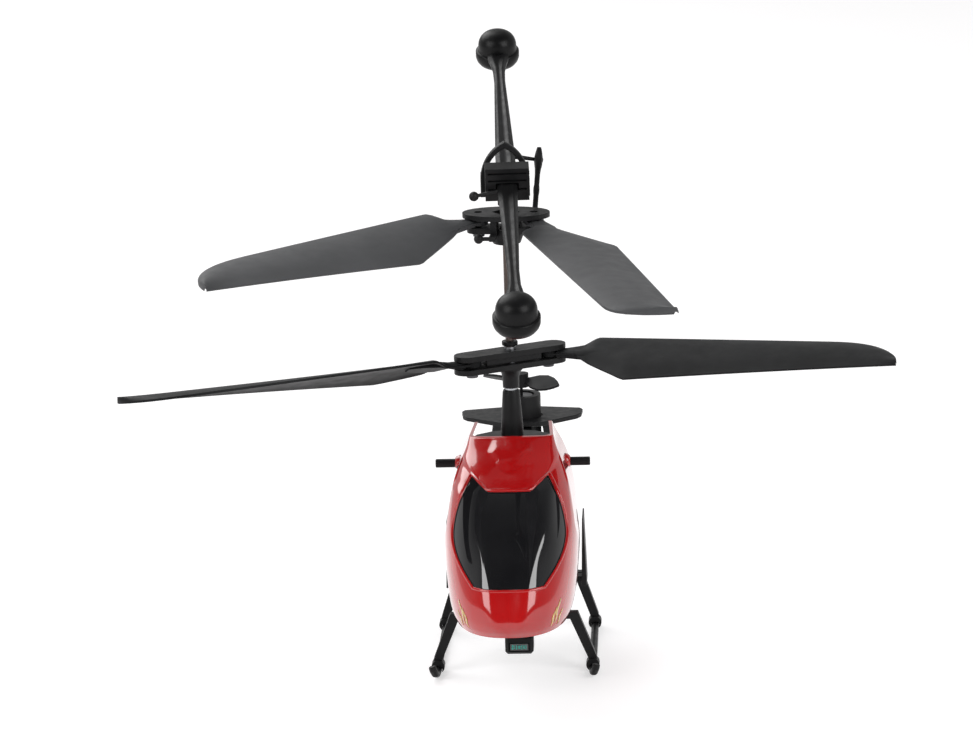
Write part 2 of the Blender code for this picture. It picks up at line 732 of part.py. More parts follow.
def build_flybar():
    bar = flybar_half("flybar", -1)
    rear = flybar_half("rear", 1)
    middle = box("middle", (-3.4 * MM, -3.0 * MM, -1.5 * MM), (3.3 * MM, 3.0 * MM, 1.1 * MM))
    studs = []
    for side in (-1, 1):
        centre = Vector((side * FLYBAR_BALL.x, side * FLYBAR_BALL.y, FLYBAR_BALL.z))
        studs.append(ball("ball", centre, LINK_BALL_R))
        foot = Vector((side * 1.2 * MM, centre.y, -0.05 * MM))
        studs.append(rod("neck", foot, centre, 0.55 * MM, 10))
    bar = fuse(bar, rear, middle, *studs)
    pin_hole = rod("pin_hole", (-8 * MM, 0, 0), (8 * MM, 0, 0), 0.72 * MM, 12)
    return carve(bar, pin_hole)


def build_flybar_saddle():
    """The ribbed block in front of the hoop, bored for the bar to pass through it."""
    rear = -3.3 * MM
    front = -6.6 * MM
    block = box("flybar_saddle", (-4.6 * MM, front, -3.6 * MM), (4.6 * MM, rear, 4.4 * MM))
    grooves = []
    for level in (-0.8, 1.5, 3.4):
        grooves.append(
            box("groove", (-4.0 * MM, front - MM, level * MM), (4.0 * MM, front + 0.5 * MM, (level + 0.5) * MM))
        )
    passage = box("passage", (-2.65 * MM, front - MM, -0.9 * MM), (2.65 * MM, rear + MM, 1.1 * MM))
    return carve(block, passage, *grooves)


def build_weight(name, side):
    """A domed cap over a banded foot; the bar ends inside a slot in the foot."""
    profile = [
        (0.0, 5.4),
        (2.4, 5.3),
        (3.4, 4.6),
        (4.3, 3.0),
        (4.8, 1.2),
        (4.85, 0.4),
        (5.4, 0.2),
        (5.4, -1.6),
        (4.9, -2.7),
        (4.1, -3.4),
        (0.0, -3.5),
    ]
    body = turned(name, [(r * MM, z * MM) for r, z in profile], 28)
    body = moved(body, (0.0, side * FLYBAR_REACH, -0.7 * MM))
    near = side * 54.0 * MM
    far = side * 57.6 * MM
    slot = box(
        "slot", (-2.9 * MM, min(near, far), -0.95 * MM), (2.9 * MM, max(near, far), 1.15 * MM)
    )
    return carve(body, slot)


def build_link_rod(length):
    """Hangs from the flybar's ball: an eye at each end of a slim flat bar."""
    half = 0.75 * MM
    eyes = []
    for name, z in (("link_rod", 0.0), ("eye", -length)):
        eyes.append(rod(name, (-half, 0, z), (half, 0, z), 2.05 * MM, 18))
    slim = 0.6 * MM
    tip = box("tip", (-slim, -0.8 * MM, 1.7 * MM), (slim, 0.8 * MM, 2.6 * MM))
    bar = box("bar", (-slim, -0.9 * MM, -length + 1.7 * MM), (slim, 0.9 * MM, -1.7 * MM))
    nub = rod("nub", (-1.6 * MM, 0, -0.55 * length), (0, 0, -0.55 * length), 0.35 * MM, 10)
    link = fuse(eyes[0], eyes[1], tip, bar, nub)
    holes = [rod("h", (-3 * MM, 0, z), (3 * MM, 0, z), LINK_BALL_R + 0.22 * MM, 16) for z in (0.0, -length)]
    return carve(link, *holes)


# ---------------------------------------------------------------- tail and landing gear

def build_tailplane():
    outline = [
        (16.3, 7.5),
        (15.6, 9.0),
        (5.0, 11.5),
        (-5.0, 11.5),
        (-15.6, 9.0),
        (-16.3, 7.5),
        (-15.9, 3.0),
        (-14.8, 1.0),
        (-5.0, -6.5),
        (5.0, -6.5),
        (14.8, 1.0),
        (15.9, 3.0),
    ]
    points = [(x * MM, TAIL_Y + (y - 2.0) * MM) for x, y in reversed(outline)]
    plate = prism("tailplane", points, TAIL_PLANE_Z - 0.6 * MM, TAIL_PLANE_Z + 0.6 * MM)
    hole = rod("hole", (0, TAIL_Y, 28 * MM), (0, TAIL_Y, 34 * MM), 5.15 * MM + GAP, 28)
    return carve(plate, hole)


def build_tail_fin(name, side):
    """A small round-ended fin under the tailplane that splays outwards."""
    outline = [(-4.5, 0.0), (6.5, 0.0), (5.6, -3.4), (4.2, -5.0), (-1.4, -5.0), (-3.2, -3.6)]
    fin = prism(name, [(y * MM, z * MM) for y, z in outline], -1.2 * MM, 1.2 * MM, "Y")
    fin = moved(fin, turn_z=math.pi / 2)
    fin = moved(fin, turn_y=side * math.radians(-8.0))
    return moved(fin, (side * 6.6 * MM, TAIL_Y, TAIL_PLANE_Z - 0.6 * MM - GAP - 0.17 * MM))


def build_tail_motor_housing():
    outer = 5.1 * MM
    housing = turned(
        "tail_motor_housing",
        [
            (0.0, 37.4 * MM),
            (outer, 37.4 * MM),
            (outer, 26.6 * MM),
            (outer - 1.0 * MM, 25.4 * MM),
            (0.0, 25.4 * MM),
        ],
        28,
    )
    socket = box("socket", (-2.6 * MM, -9.5 * MM, 25.8 * MM), (2.6 * MM, -3.6 * MM, 29.6 * MM))
    housing = fuse(housing, socket)
    bore = rod("bore", (0, 0, 26.6 * MM), (0, 0, 40 * MM), 3.5 * MM, 24)
    boom_hole = rod("boom_hole", (0, -11 * MM, BOOM_END_Z), (0, -5.2 * MM, BOOM_END_Z), 1.8 * MM, 16)
    return moved(carve(housing, bore, boom_hole), (0, TAIL_Y, 0))


def build_tail_motor():
    can = rod("tail_motor", (0, 0, 27.0 * MM), (0, 0, 37.1 * MM), 3.1 * MM, 20)
    socket = rod("socket", (0, 0, 33.8 * MM), (0, 0, 40 * MM), MOTOR_SHAFT_R + 0.15 * MM, 12)
    return moved(carve(can, socket), (0, TAIL_Y, 0))


def tail_blade(name, side):
    """A leaf whose chord swells and closes to a point at its tip."""
    rings = []
    for reach, chord in ((0.6, 1.6), (2.2, 2.6), (4.5, 5.4), (7.0, 6.4), (9.3, 5.0), (11.0, 2.6), (12.0, 0.5)):
        half = chord * MM / 2
        pitch = math.radians(24.0)
        skew = -0.5 * MM * (reach / 12.0)
        ring = []
        for across, lift in ((-half, -0.3), (half, -0.3), (half, 0.3), (-half, 0.3)):
            y = across + skew
            lift = lift * MM
            ring.append(Vector((
                side * reach * MM,
                side * (y * math.cos(pitch) - lift * math.sin(pitch)),
                y * math.sin(pitch) + lift * math.cos(pitch),
            )))
        rings.append(ring)
    return loft(name, rings)


def build_tail_rotor():
    hub = rod("tail_rotor", (0, 0, -1.8 * MM), (0, 0, 1.9 * MM), 2.0 * MM, 20)
    shaft = rod("shaft", (0, 0, -6.6 * MM), (0, 0, -1.2 * MM), MOTOR_SHAFT_R, 12)
    return fuse(hub, shaft, tail_blade("blade_a", 1), tail_blade("blade_b", -1))


def build_skid(name, side):
    """A round runner whose front end turns up and a little outwards."""
    track = [(0.0, 17.2, 0.9), (0.0, -20.6, 0.9), (0.1, -23.0, 1.0), (0.4, -24.8, 1.6), (0.8, -25.6, 2.8), (1.0, -25.6, 3.7)]
    return wire(name, [(side * (SKID_X + x * MM), y * MM, z * MM) for x, y, z in track], SKID_R)


def build_strut(name, y, knee_x):
    """A flat arch from one runner to the other, with a collar round each runner."""
    half = STRUT_WIDTH / 2
    outer = [(SKID_X + half, 2.0 * MM), (SKID_X + half, 3.6 * MM), (knee_x + half, 14.6 * MM)]
    inner = [(knee_x - half, 13.0 * MM), (SKID_X - half, 3.0 * MM), (SKID_X - half, 2.0 * MM)]
    outline = outer + [(-x, z) for x, z in reversed(outer)] + [(-x, z) for x, z in reversed(inner)] + inner
    arch = prism(name, outline, y - 1.0 * MM, y + 1.0 * MM, "Y")
    collar_z = SKID_R + 0.75 * MM
    collars = [
        rod("collar", (side * SKID_X, y - 1.5 * MM, collar_z), (side * SKID_X, y + 1.5 * MM, collar_z), 1.6 * MM, 16)
        for side in (-1, 1)
    ]
    strut = fuse(arch, *collars)
    grooves = [
        rod("groove", (side * SKID_X, -40 * MM, SKID_R), (side * SKID_X, 40 * MM, SKID_R), SKID_R + 0.15 * MM, 16)
        for side in (-1, 1)
    ]
    return carve(strut, *grooves)


def build_side_guard(name, side):
    """A cheek that stands outside the shell, thin at its top and thick where it meets the leg."""
    outline = [(15.7, 15.4), (17.0, 15.4), (16.5, 32.4), (16.15, 32.4)]
    plate = prism(name, [(side * x * MM, z * MM) for x, z in outline], -1.0 * MM, 8.5 * MM, "Y")
    bar = box(
        "bar",
        (min(side * 9.3 * MM, side * 16.5 * MM), 4.0 * MM, TRAY_Z[0]),
        (max(side * 9.3 * MM, side * 16.5 * MM), 7.0 * MM, TRAY_Z[1]),
    )
    return fuse(plate, bar)


# ---------------------------------------------------------------- assembly

def joint_empty(name, parent, location, *turns):
    empty = bpy.data.objects.new(name, None)
    MODEL.objects.link(empty)
    empty.empty_display_size = 5 * MM
    matrix = Matrix.Translation(Vector(location))
    for turn, axis in turns:
        matrix = matrix @ Matrix.Rotation(turn, 4, axis)
    empty.parent = parent
    empty.matrix_local = matrix
    return empty


def put(item, parent, material, name=None):
    """Hand a finished piece to its body: name, material, shading and collection."""
    if name:
        item.name = name
    item.data.materials.clear()
    item.data.materials.append(MATERIALS[material])
    item.data.shade_smooth()
    item.data.set_sharp_from_angle(angle=math.radians(35.0))
    for collection in list(item.users_collection):
        collection.objects.unlink(item)
    MODEL.objects.link(item)
    item.parent = parent
    return item


def assemble_tail(root):
    """The boom leaves the body a little to the left, with everything it carries."""
    foot = joint_empty("boom_root", root, (0, BOOM_ROOT_Y, 0), (TAIL_TURN, "Z"))
    tail = joint_empty("tail", foot, (0, -BOOM_ROOT_Y, 0))
    boom = wire(
        "tail_boom",
        [(0, BOOM_ROOT_Y, BOOM_START_Z), (0, 45 * MM, 29.8 * MM), (0, TAIL_Y - 5.6 * MM, BOOM_END_Z)],
        1.5 * MM,
    )
    put(boom, tail, "black_frame")
    put(build_tail_motor_housing(), tail, "black_frame")
    put(build_tail_motor(), tail, "steel")
    put(build_tailplane(), tail, "black_frame")
    for name, side in (("left", -1), ("right", 1)):
        put(build_tail_fin(f"tail_fin_{name}", side), tail, "black_frame")
    axis = joint_empty("tail_rotor_axis", tail, (0, TAIL_Y, TAIL_ROTOR_Z), (TAIL_ROTOR_TURN, "Z"))
    put(build_tail_rotor(), axis, "blade_plastic")


def assemble_fuselage(root):
    canopy, windshield = build_canopy()
    put(canopy, root, "red_shell")
    put(windshield, root, "dark_glass")
    put(build_gear_frame(), root, "black_frame")
    put(build_belly_tray(), root, "black_frame")
    put(build_mast_sleeve(), root, "black_frame")
    put(build_bush("lower_bush", 36.0 * MM, 39.8 * MM, BUSH_R, INNER_SHAFT_R + 0.1 * MM), root, "brass")
    for name, side in (("front_motor", -1), ("rear_motor", 1)):
        put(moved(build_motor(name), (0, side * GEAR_DISTANCE, 0)), root, "steel")
    put(box("battery", (-8 * MM, -33 * MM, 16.8 * MM), (8 * MM, -14 * MM, 23.6 * MM), 0.8 * MM), root, "battery_wrap")
    put(box("circuit_board", (-8.5 * MM, -34 * MM, 26 * MM), (8.5 * MM, -14 * MM, 27 * MM)), root, "board_green")
    chin = box("chin_housing", (-1.5 * MM, -37 * MM, 10.0 * MM), (5.1 * MM, -31 * MM, 14.6 * MM), 0.6 * MM)
    slot = box("slot", (-0.5 * MM, -38 * MM, 10.8 * MM), (4.1 * MM, -35.6 * MM, 12.8 * MM))
    put(carve(chin, slot), root, "gloss_black")
    put(box("chin_board", (-0.2 * MM, -36.8 * MM, 11.1 * MM), (3.8 * MM, -35.9 * MM, 12.5 * MM)), root, "board_green")
    for name, side in (("left", -1), ("right", 1)):
        pin = rod(
            f"canopy_pin_{name}",
            (side * (CHEEK_X[1] + GAP), PIN_Y, PIN_Z),
            (side * 18.5 * MM, PIN_Y, PIN_Z),
            PIN_R,
            16,
        )
        put(pin, root, "black_frame")
        put(build_side_guard(f"side_guard_{name}", side), root, "black_frame")
        put(build_skid(f"skid_{name}", side), root, "black_frame")
    put(build_strut("front_strut", FRONT_STRUT_Y, 14.2 * MM), root, "black_frame")
    put(build_strut("rear_strut", REAR_STRUT_Y, 14.8 * MM), root, "black_frame")
    switch = box("switch_housing", (-3.4 * MM, -7 * MM, 12.4 * MM), (3.4 * MM, 2 * MM, TRAY_Z[0] - GAP))
    recess = box("recess", (-1.4 * MM, -5.4 * MM, 11 * MM), (1.4 * MM, 0.4 * MM, 13.6 * MM))
    put(carve(switch, recess), root, "black_frame")
    charger = box("charging_socket", (4.2 * MM, 9.4 * MM, TRAY_Z[1] + GAP), (8.8 * MM, 13.8 * MM, 20.6 * MM))
    socket = rod("socket", (6.5 * MM, 11 * MM, 18.7 * MM), (6.5 * MM, 15 * MM, 18.7 * MM), 1.1 * MM, 14)
    put(carve(charger, socket), root, "gloss_black")


def assemble_small_movers(root):
    front = joint_empty("front_pinion_axis", root, (0, -GEAR_DISTANCE, 0))
    rear = joint_empty("rear_pinion_axis", root, (0, GEAR_DISTANCE, 0))
    half_pitch = math.pi / PINION_TEETH
    facing = math.pi / 2
    pinion = build_pinion("front_pinion", OUTER_GEAR_Z)
    put(moved(pinion, turn_z=facing + half_pitch), front, "brass")
    pinion = build_pinion("rear_pinion", INNER_GEAR_Z)
    put(moved(pinion, turn_z=-facing + half_pitch), rear, "brass")
    switch = joint_empty("power_switch_axis", root, (0, -3.6 * MM, 13.2 * MM))
    knob = box("power_switch", (-1.0 * MM, -1.1 * MM, -1.9 * MM), (1.0 * MM, 1.1 * MM, 0.0))
    put(knob, switch, "gloss_black")


def assemble_lower_rotor(root):
    axis = joint_empty("lower_rotor_axis", root, (0, 0, LOWER_HUB_Z), (LOWER_HUB_TURN, "Z"))
    shaft = build_bush(
        "outer_shaft", OUTER_GEAR_Z[0] - 0.6 * MM - LOWER_HUB_Z, 2.9 * MM, OUTER_SHAFT_R, OUTER_SHAFT_BORE
    )
    put(shaft, axis, "steel")
    gear = build_main_gear("outer_gear", OUTER_GEAR_Z, OUTER_SHAFT_R + 0.1 * MM)
    gear = moved(gear, (0, 0, -LOWER_HUB_Z), turn_z=-math.pi / 2 - LOWER_HUB_TURN)
    put(gear, axis, "gear_plastic")
    top, bottom = build_lower_hub()
    put(top, axis, "black_frame")
    put(bottom, axis, "black_frame")
    for name, side, turn, blade_set in (
        ("left", -1, LOWER_LEFT_TURN, LOWER_LEFT_SET),
        ("right", 1, LOWER_RIGHT_TURN, LOWER_RIGHT_SET),
    ):
        x = side * LOWER_SCREW_X
        put(build_screw(f"lower_screw_{name}", x, -3.3 * MM, 1.6 * MM), axis, "steel")
        hinge = joint_empty(f"lower_blade_{name}_axis", axis, (x, 0, 0), (turn - LOWER_HUB_TURN, "Z"))
        put(build_blade(f"lower_blade_{name}", 1, blade_set, 21.0 * MM), hinge, "blade_plastic")


def assemble_upper_rotor(root):
    axis = joint_empty("upper_rotor_axis", root, (0, 0, 0))
    shaft = rod("inner_shaft", (0, 0, 36.6 * MM), (0, 0, FLYBAR_Z - 5.4 * MM), INNER_SHAFT_R, 24)
    along = Vector((math.cos(UPPER_HUB_TURN), math.sin(UPPER_HUB_TURN), 0))
    centre = Vector((0, 0, HUB_PIVOT_Z))
    cross_hole = rod("cross_hole", centre - 2 * MM * along, centre + 2 * MM * along, HUB_PIN_R + 0.08 * MM, 12)
    put(carve(shaft, cross_hole), axis, "copper_shaft")
    put(rod("hub_pin", centre - 3.6 * MM * along, centre + 3.6 * MM * along, HUB_PIN_R, 12), axis, "steel")
    gear = build_main_gear("inner_gear", INNER_GEAR_Z, INNER_SHAFT_R + 0.1 * MM)
    put(moved(gear, turn_z=math.pi / 2), axis, "gear_plastic")
    ring = build_bush(
        "shaft_collar", LOWER_HUB_Z + 3.2 * MM, LOWER_HUB_Z + 4.3 * MM, 1.9 * MM, INNER_SHAFT_R + 0.1 * MM
    )
    put(ring, axis, "gloss_black")

    pivot = joint_empty("flybar_axis", axis, (0, 0, FLYBAR_Z), (FLYBAR_TURN, "Z"))
    put(build_shaft_head(), pivot, "black_frame")
    pin = rod("flybar_pin", (-5.8 * MM, 0, 0), (5.8 * MM, 0, 0), 0.5 * MM, 12)
    put(pin, pivot, "steel")

    flybar = joint_empty("flybar_tilt", pivot, (FLYBAR_SLIP, 0, 0), (FLYBAR_TILT, "X"))
    put(build_flybar(), flybar, "black_frame")
    put(build_flybar_saddle(), flybar, "black_frame")
    for name, side in (("front", -1), ("rear", 1)):
        put(build_weight(f"flybar_weight_{name}", side), flybar, "gloss_black")

    hub = joint_empty(
        "upper_hub_axis", axis, (0, 0, HUB_PIVOT_Z), (UPPER_HUB_TURN, "Z"), (UPPER_HUB_TILT, "X")
    )
    plate, clamp = build_upper_hub()
    put(plate, hub, "blade_plastic")
    put(clamp, hub, "black_frame")
    for name, side, turn, blade_set in (
        ("left", -1, UPPER_LEFT_TURN, UPPER_LEFT_SET),
        ("right", 1, UPPER_RIGHT_TURN, UPPER_RIGHT_SET),
    ):
        x = side * UPPER_SCREW_X
        screw = build_screw(f"upper_screw_{name}", x, -3.6 * MM, 1.6 * MM)
        put(screw, hub, "steel")
        hinge = joint_empty(f"upper_blade_{name}_axis", hub, (x, 0, 0), (turn - UPPER_HUB_TURN, "Z"))
        put(build_blade(f"upper_blade_{name}", -1, blade_set, 27.0 * MM), hinge, "blade_plastic")

    bpy.context.view_layer.update()
    top_ball = flybar.matrix_world @ FLYBAR_BALL
    low_ball = hub.matrix_world @ HUB_BALL
    reach = low_ball - top_ball
    aim = (-reach).to_track_quat("Z", "Y").to_matrix().to_4x4()
    link = bpy.data.objects.new("link_rod_axis", None)
    MODEL.objects.link(link)
    link.empty_display_size = 3 * MM
    link.parent = flybar
    side_on = Matrix.Rotation(FLYBAR_TURN, 4, "Z").to_3x3() @ Vector((1.0, 0.0, 0.0))
    up = (-reach).normalized()
    side_on = (side_on - up * side_on.dot(up)).normalized()
    across = up.cross(side_on)
    frame = Matrix((side_on, across, up)).transposed().to_4x4()
    link.matrix_world = Matrix.Translation(top_ball) @ frame
    put(build_link_rod(reach.length), link, "black_frame")


clear_scene()
MATERIALS = make_materials()
MODEL = bpy.data.collections.new("remote_control_helicopter")
bpy.context.scene.collection.children.link(MODEL)
ROOT = joint_empty("helicopter", None, MAST)
assemble_fuselage(ROOT)
assemble_tail(ROOT)
assemble_small_movers(ROOT)
assemble_lower_rotor(ROOT)
assemble_upper_rotor(ROOT)
bpy.context.view_layer.update()
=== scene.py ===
"""Looks of the remote control helicopter: glossy red shell, satin blades, soft studio light.

Lengths are in millimetres from the mast's foot, unless a name says otherwise; place() turns them
into the frame's metres.
"""
import json
import math

import bmesh
import bpy
from mathutils import Matrix, Vector


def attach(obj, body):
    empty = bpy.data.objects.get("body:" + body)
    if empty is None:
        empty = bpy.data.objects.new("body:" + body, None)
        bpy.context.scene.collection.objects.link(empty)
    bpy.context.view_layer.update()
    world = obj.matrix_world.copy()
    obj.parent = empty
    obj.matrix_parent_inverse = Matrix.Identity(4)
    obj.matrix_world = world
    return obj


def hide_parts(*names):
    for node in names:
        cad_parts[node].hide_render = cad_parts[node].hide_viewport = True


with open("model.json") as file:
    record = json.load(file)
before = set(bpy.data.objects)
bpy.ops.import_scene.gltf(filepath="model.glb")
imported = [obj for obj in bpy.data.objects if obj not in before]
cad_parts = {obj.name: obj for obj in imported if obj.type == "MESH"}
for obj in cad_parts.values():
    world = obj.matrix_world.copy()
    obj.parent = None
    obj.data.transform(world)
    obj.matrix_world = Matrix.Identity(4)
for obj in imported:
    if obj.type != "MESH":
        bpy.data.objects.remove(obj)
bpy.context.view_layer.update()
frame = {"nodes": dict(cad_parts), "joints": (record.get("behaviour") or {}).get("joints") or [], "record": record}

MM = 0.001
JOINTS = {joint["name"]: joint for joint in frame["joints"]}
MAST_TOP = Vector(JOINTS["lower_rotor_spin"]["pos_m"])
MAST = Vector((MAST_TOP.x, MAST_TOP.y, 0.0))

LOOKS = bpy.data.collections.new("looks")
bpy.context.scene.collection.children.link(LOOKS)


def place(x, y, z):
    return MAST + Vector((x, y, z)) * MM


# ---------------------------------------------------------------- materials

def new_material(name):
    material = bpy.data.materials.new(name)
    material.use_nodes = True
    tree = material.node_tree
    return material, tree, tree.nodes["Principled BSDF"]


def noise(tree, scale, detail=3.0, stretch=(1.0, 1.0, 1.0)):
    """Noise over object space, in features of 1 / scale metres."""
    where = tree.nodes.new("ShaderNodeTexCoord")
    mapping = tree.nodes.new("ShaderNodeMapping")
    mapping.inputs["Scale"].default_value = stretch
    texture = tree.nodes.new("ShaderNodeTexNoise")
    texture.inputs["Scale"].default_value = scale
    texture.inputs["Detail"].default_value = detail
    tree.links.new(where.outputs["Object"], mapping.inputs["Vector"])
    tree.links.new(mapping.outputs["Vector"], texture.inputs["Vector"])
    return texture.outputs["Fac"]


def spread(tree, value, low, high):
    """Maps the middle of a noise value to the range low to high."""
    node = tree.nodes.new("ShaderNodeMapRange")
    node.inputs["From Min"].default_value = 0.3
    node.inputs["From Max"].default_value = 0.7
    node.inputs["To Min"].default_value = low
    node.inputs["To Max"].default_value = high
    tree.links.new(value, node.inputs["Value"])
    return node.outputs["Result"]


def mix_colours(tree, factor, first, second):
    node = tree.nodes.new("ShaderNodeMix")
    node.data_type = "RGBA"
    for socket, colour in (("A", first), ("B", second)):
        slot = [s for s in node.inputs if s.name == socket and s.type == "RGBA"][0]
        if isinstance(colour, tuple):
            slot.default_value = (*colour, 1.0)
        else:
            tree.links.new(colour, slot)
    tree.links.new(factor, node.inputs["Factor"])
    return [s for s in node.outputs if s.type == "RGBA"][0]


def moulded(name, colour, worn, rough, scale=900.0, relief=0.02, coat=0.0, metallic=0.0, edge=0.12,
            stretch=(1.0, 1.0, 1.0), shine=0.5):
    """A moulded or turned surface: cloudy colour, uneven gloss, fine relief and softened edges."""
    material, tree, shader = new_material(name)
    cloud = spread(tree, noise(tree, scale * 0.12, 4.0), 0.0, 1.0)
    tree.links.new(mix_colours(tree, cloud, colour, worn), shader.inputs["Base Color"])
    gloss = spread(tree, noise(tree, scale * 0.5, 5.0, stretch), rough[0], rough[1])
    tree.links.new(gloss, shader.inputs["Roughness"])
    shader.inputs["Metallic"].default_value = metallic
    shader.inputs["Specular IOR Level"].default_value = shine
    shader.inputs["Coat Weight"].default_value = coat
    shader.inputs["Coat Roughness"].default_value = 0.04
    rounding = tree.nodes.new("ShaderNodeBevel")
    rounding.samples = 4
    rounding.inputs["Radius"].default_value = edge * MM
    bump = tree.nodes.new("ShaderNodeBump")
    bump.inputs["Strength"].default_value = relief * 10
    bump.inputs["Distance"].default_value = 0.05 * MM
    tree.links.new(noise(tree, scale * 4, 3.0, stretch), bump.inputs["Height"])
    tree.links.new(rounding.outputs["Normal"], bump.inputs["Normal"])
    tree.links.new(bump.outputs["Normal"], shader.inputs["Normal"])
    return material


def red_paint():
    """Deep red moulded plastic under a clear coat with a trace of orange peel."""
    material, tree, shader = new_material("red_paint")
    cloud = spread(tree, noise(tree, 60.0, 3.0), 0.0, 1.0)
    colour = mix_colours(tree, cloud, (0.42, 0.004, 0.004), (0.35, 0.003, 0.004))
    tree.links.new(colour, shader.inputs["Base Color"])
    gloss = spread(tree, noise(tree, 500.0, 4.0), 0.16, 0.24)
    tree.links.new(gloss, shader.inputs["Roughness"])
    shader.inputs["Coat Weight"].default_value = 1.0
    shader.inputs["Coat Roughness"].default_value = 0.03
    shader.inputs["Specular IOR Level"].default_value = 0.35
    bump = tree.nodes.new("ShaderNodeBump")
    bump.inputs["Strength"].default_value = 0.04
    bump.inputs["Distance"].default_value = 0.1 * MM
    tree.links.new(noise(tree, 700.0, 2.0), bump.inputs["Height"])
    tree.links.new(bump.outputs["Normal"], shader.inputs["Normal"])
    return material


FLOOR_GLOW = 0.58


def studio_floor():
    """White paper: the light that it lacks at grazing angles comes from a little glow."""
    material, tree, shader = new_material("studio_floor")
    cloud = spread(tree, noise(tree, 3.0, 2.0), 0.0, 1.0)
    colour = mix_colours(tree, cloud, (0.52, 0.51, 0.515), (0.49, 0.48, 0.485))
    tree.links.new(colour, shader.inputs["Base Color"])
    shader.inputs["Roughness"].default_value = 0.6
    shader.inputs["Specular IOR Level"].default_value = 0.25
    shader.inputs["Emission Color"].default_value = (1.0, 1.0, 1.0, 1.0)
    shader.inputs["Emission Strength"].default_value = FLOOR_GLOW
    return material


PAINT = red_paint()
GLASS = moulded(
    "dark_pane", (0.006, 0.006, 0.007), (0.010, 0.010, 0.011), (0.03, 0.06),
    relief=0.0, coat=1.0, edge=0.05,
)
FRAME_BLACK = moulded(
    "frame_black", (0.005, 0.005, 0.0055), (0.009, 0.009, 0.0095), (0.40, 0.55),
    relief=0.02, shine=0.2,
)
BLADE_GREY = moulded(
    "blade_grey", (0.050, 0.051, 0.053), (0.064, 0.065, 0.068), (0.42, 0.52),
    scale=600.0, relief=0.012, shine=0.16,
)
# Painted shade: the blade plastic again, made darker for the lower rotor's blades (the tail rotor wears it too).
BLADE_PAINTED_SHADE = moulded(
    "blade_painted_shade", (0.007, 0.0072, 0.0076), (0.011, 0.0113, 0.012), (0.44, 0.54),
    scale=600.0, relief=0.012, shine=0.1,
)
GLOSS_BLACK = moulded(
    "gloss_black", (0.003, 0.003, 0.0032), (0.005, 0.005, 0.0053), (0.34, 0.44),
    relief=0.006, coat=0.02, shine=0.14,
)
NYLON = moulded("nylon", (0.66, 0.65, 0.60), (0.56, 0.54, 0.48), (0.38, 0.52), relief=0.02)
STEEL = moulded(
    "steel", (0.52, 0.53, 0.55), (0.40, 0.41, 0.43), (0.20, 0.36), metallic=1.0, stretch=(1.0, 1.0, 8.0),
)
BRASS = moulded("brass", (0.60, 0.42, 0.17), (0.48, 0.33, 0.13), (0.22, 0.38), metallic=1.0)
COPPER = moulded("shaft_brown", (0.10, 0.078, 0.070), (0.06, 0.046, 0.042), (0.26, 0.42), metallic=0.8)
DARK_STEEL = moulded("dark_steel", (0.10, 0.10, 0.105), (0.06, 0.06, 0.065), (0.30, 0.45), metallic=0.9)
TEAL = moulded("label_teal", (0.02, 0.30, 0.24), (0.015, 0.22, 0.18), (0.35, 0.5), scale=2500.0)
BOARD = moulded("board_green", (0.015, 0.17, 0.13), (0.02, 0.11, 0.09), (0.25, 0.45), scale=2500.0)
WRAP = moulded("battery_wrap", (0.22, 0.25, 0.30), (0.30, 0.33, 0.38), (0.22, 0.40), relief=0.05)
FLASH = moulded("yellow_flash", (0.80, 0.52, 0.16), (0.70, 0.42, 0.10), (0.20, 0.30), relief=0.0, coat=0.8)
SLOT_LOOKS = {
    "red_shell": PAINT,
    "dark_glass": GLASS,
    "black_frame": FRAME_BLACK,
    "blade_plastic": BLADE_GREY,
    "gloss_black": GLOSS_BLACK,
    "gear_plastic": NYLON,
    "steel": STEEL,
    "brass": BRASS,
    "copper_shaft": COPPER,
    "board_green": BOARD,
    "battery_wrap": WRAP,
}
NODE_SLOT = {part["node"]: part["material_slot"] for part in frame["record"]["subparts"]}
NODE_BODY = {
    node: body for body, nodes in frame["record"]["behaviour"]["bodies"].items() for node in nodes
}


# ---------------------------------------------------------------- mesh helpers

def smooth_by_angle(mesh, limit=35.0):
    """Smooth shading, broken at edges sharper than the limit in degrees."""
    bm = bmesh.new()
    bm.from_mesh(mesh)
    for face in bm.faces:
        face.smooth = True
    for edge in bm.edges:
        if len(edge.link_faces) == 2:
            edge.smooth = edge.calc_face_angle(0.0) < math.radians(limit)
    bm.to_mesh(mesh)
    bm.free()


def piece(name, bm, material, body, nodes=(), limit=35.0):
    """Makes an object of the mesh, in its material, riding on its body in place of CAD nodes."""
    mesh = bpy.data.meshes.new(name)
    bmesh.ops.recalc_face_normals(bm, faces=bm.faces)
    bm.to_mesh(mesh)
    bm.free()
    smooth_by_angle(mesh, limit)
    mesh.materials.append(material)
    item = bpy.data.objects.new(name, mesh)
    LOOKS.objects.link(item)
    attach(item, body)
    if nodes:
        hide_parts(*nodes)
    return item


def add_loft(bm, rings, caps=True):
    rows = [[bm.verts.new(point) for point in ring] for ring in rings]
    count = len(rows[0])
    for low, high in zip(rows, rows[1:]):
        for i in range(count):
            j = (i + 1) % count
            bm.faces.new((low[i], low[j], high[j], high[i]))
    if caps:
        bm.faces.new(rows[0][::-1])
        bm.faces.new(rows[-1])
    return rows


def add_turned(bm, profile, centre, frame_3x3, segments=64):
    """Revolves (radius, height) points about the third column of the frame, through the centre."""
    rings = []
    for radius, height in profile:
        ring = []
        for i in range(segments):
            angle = 2 * math.pi * i / segments
            local = Vector((radius * math.cos(angle), radius * math.sin(angle), height))
            ring.append(centre + frame_3x3 @ (local * MM))
        rings.append(ring)
    add_loft(bm, rings)


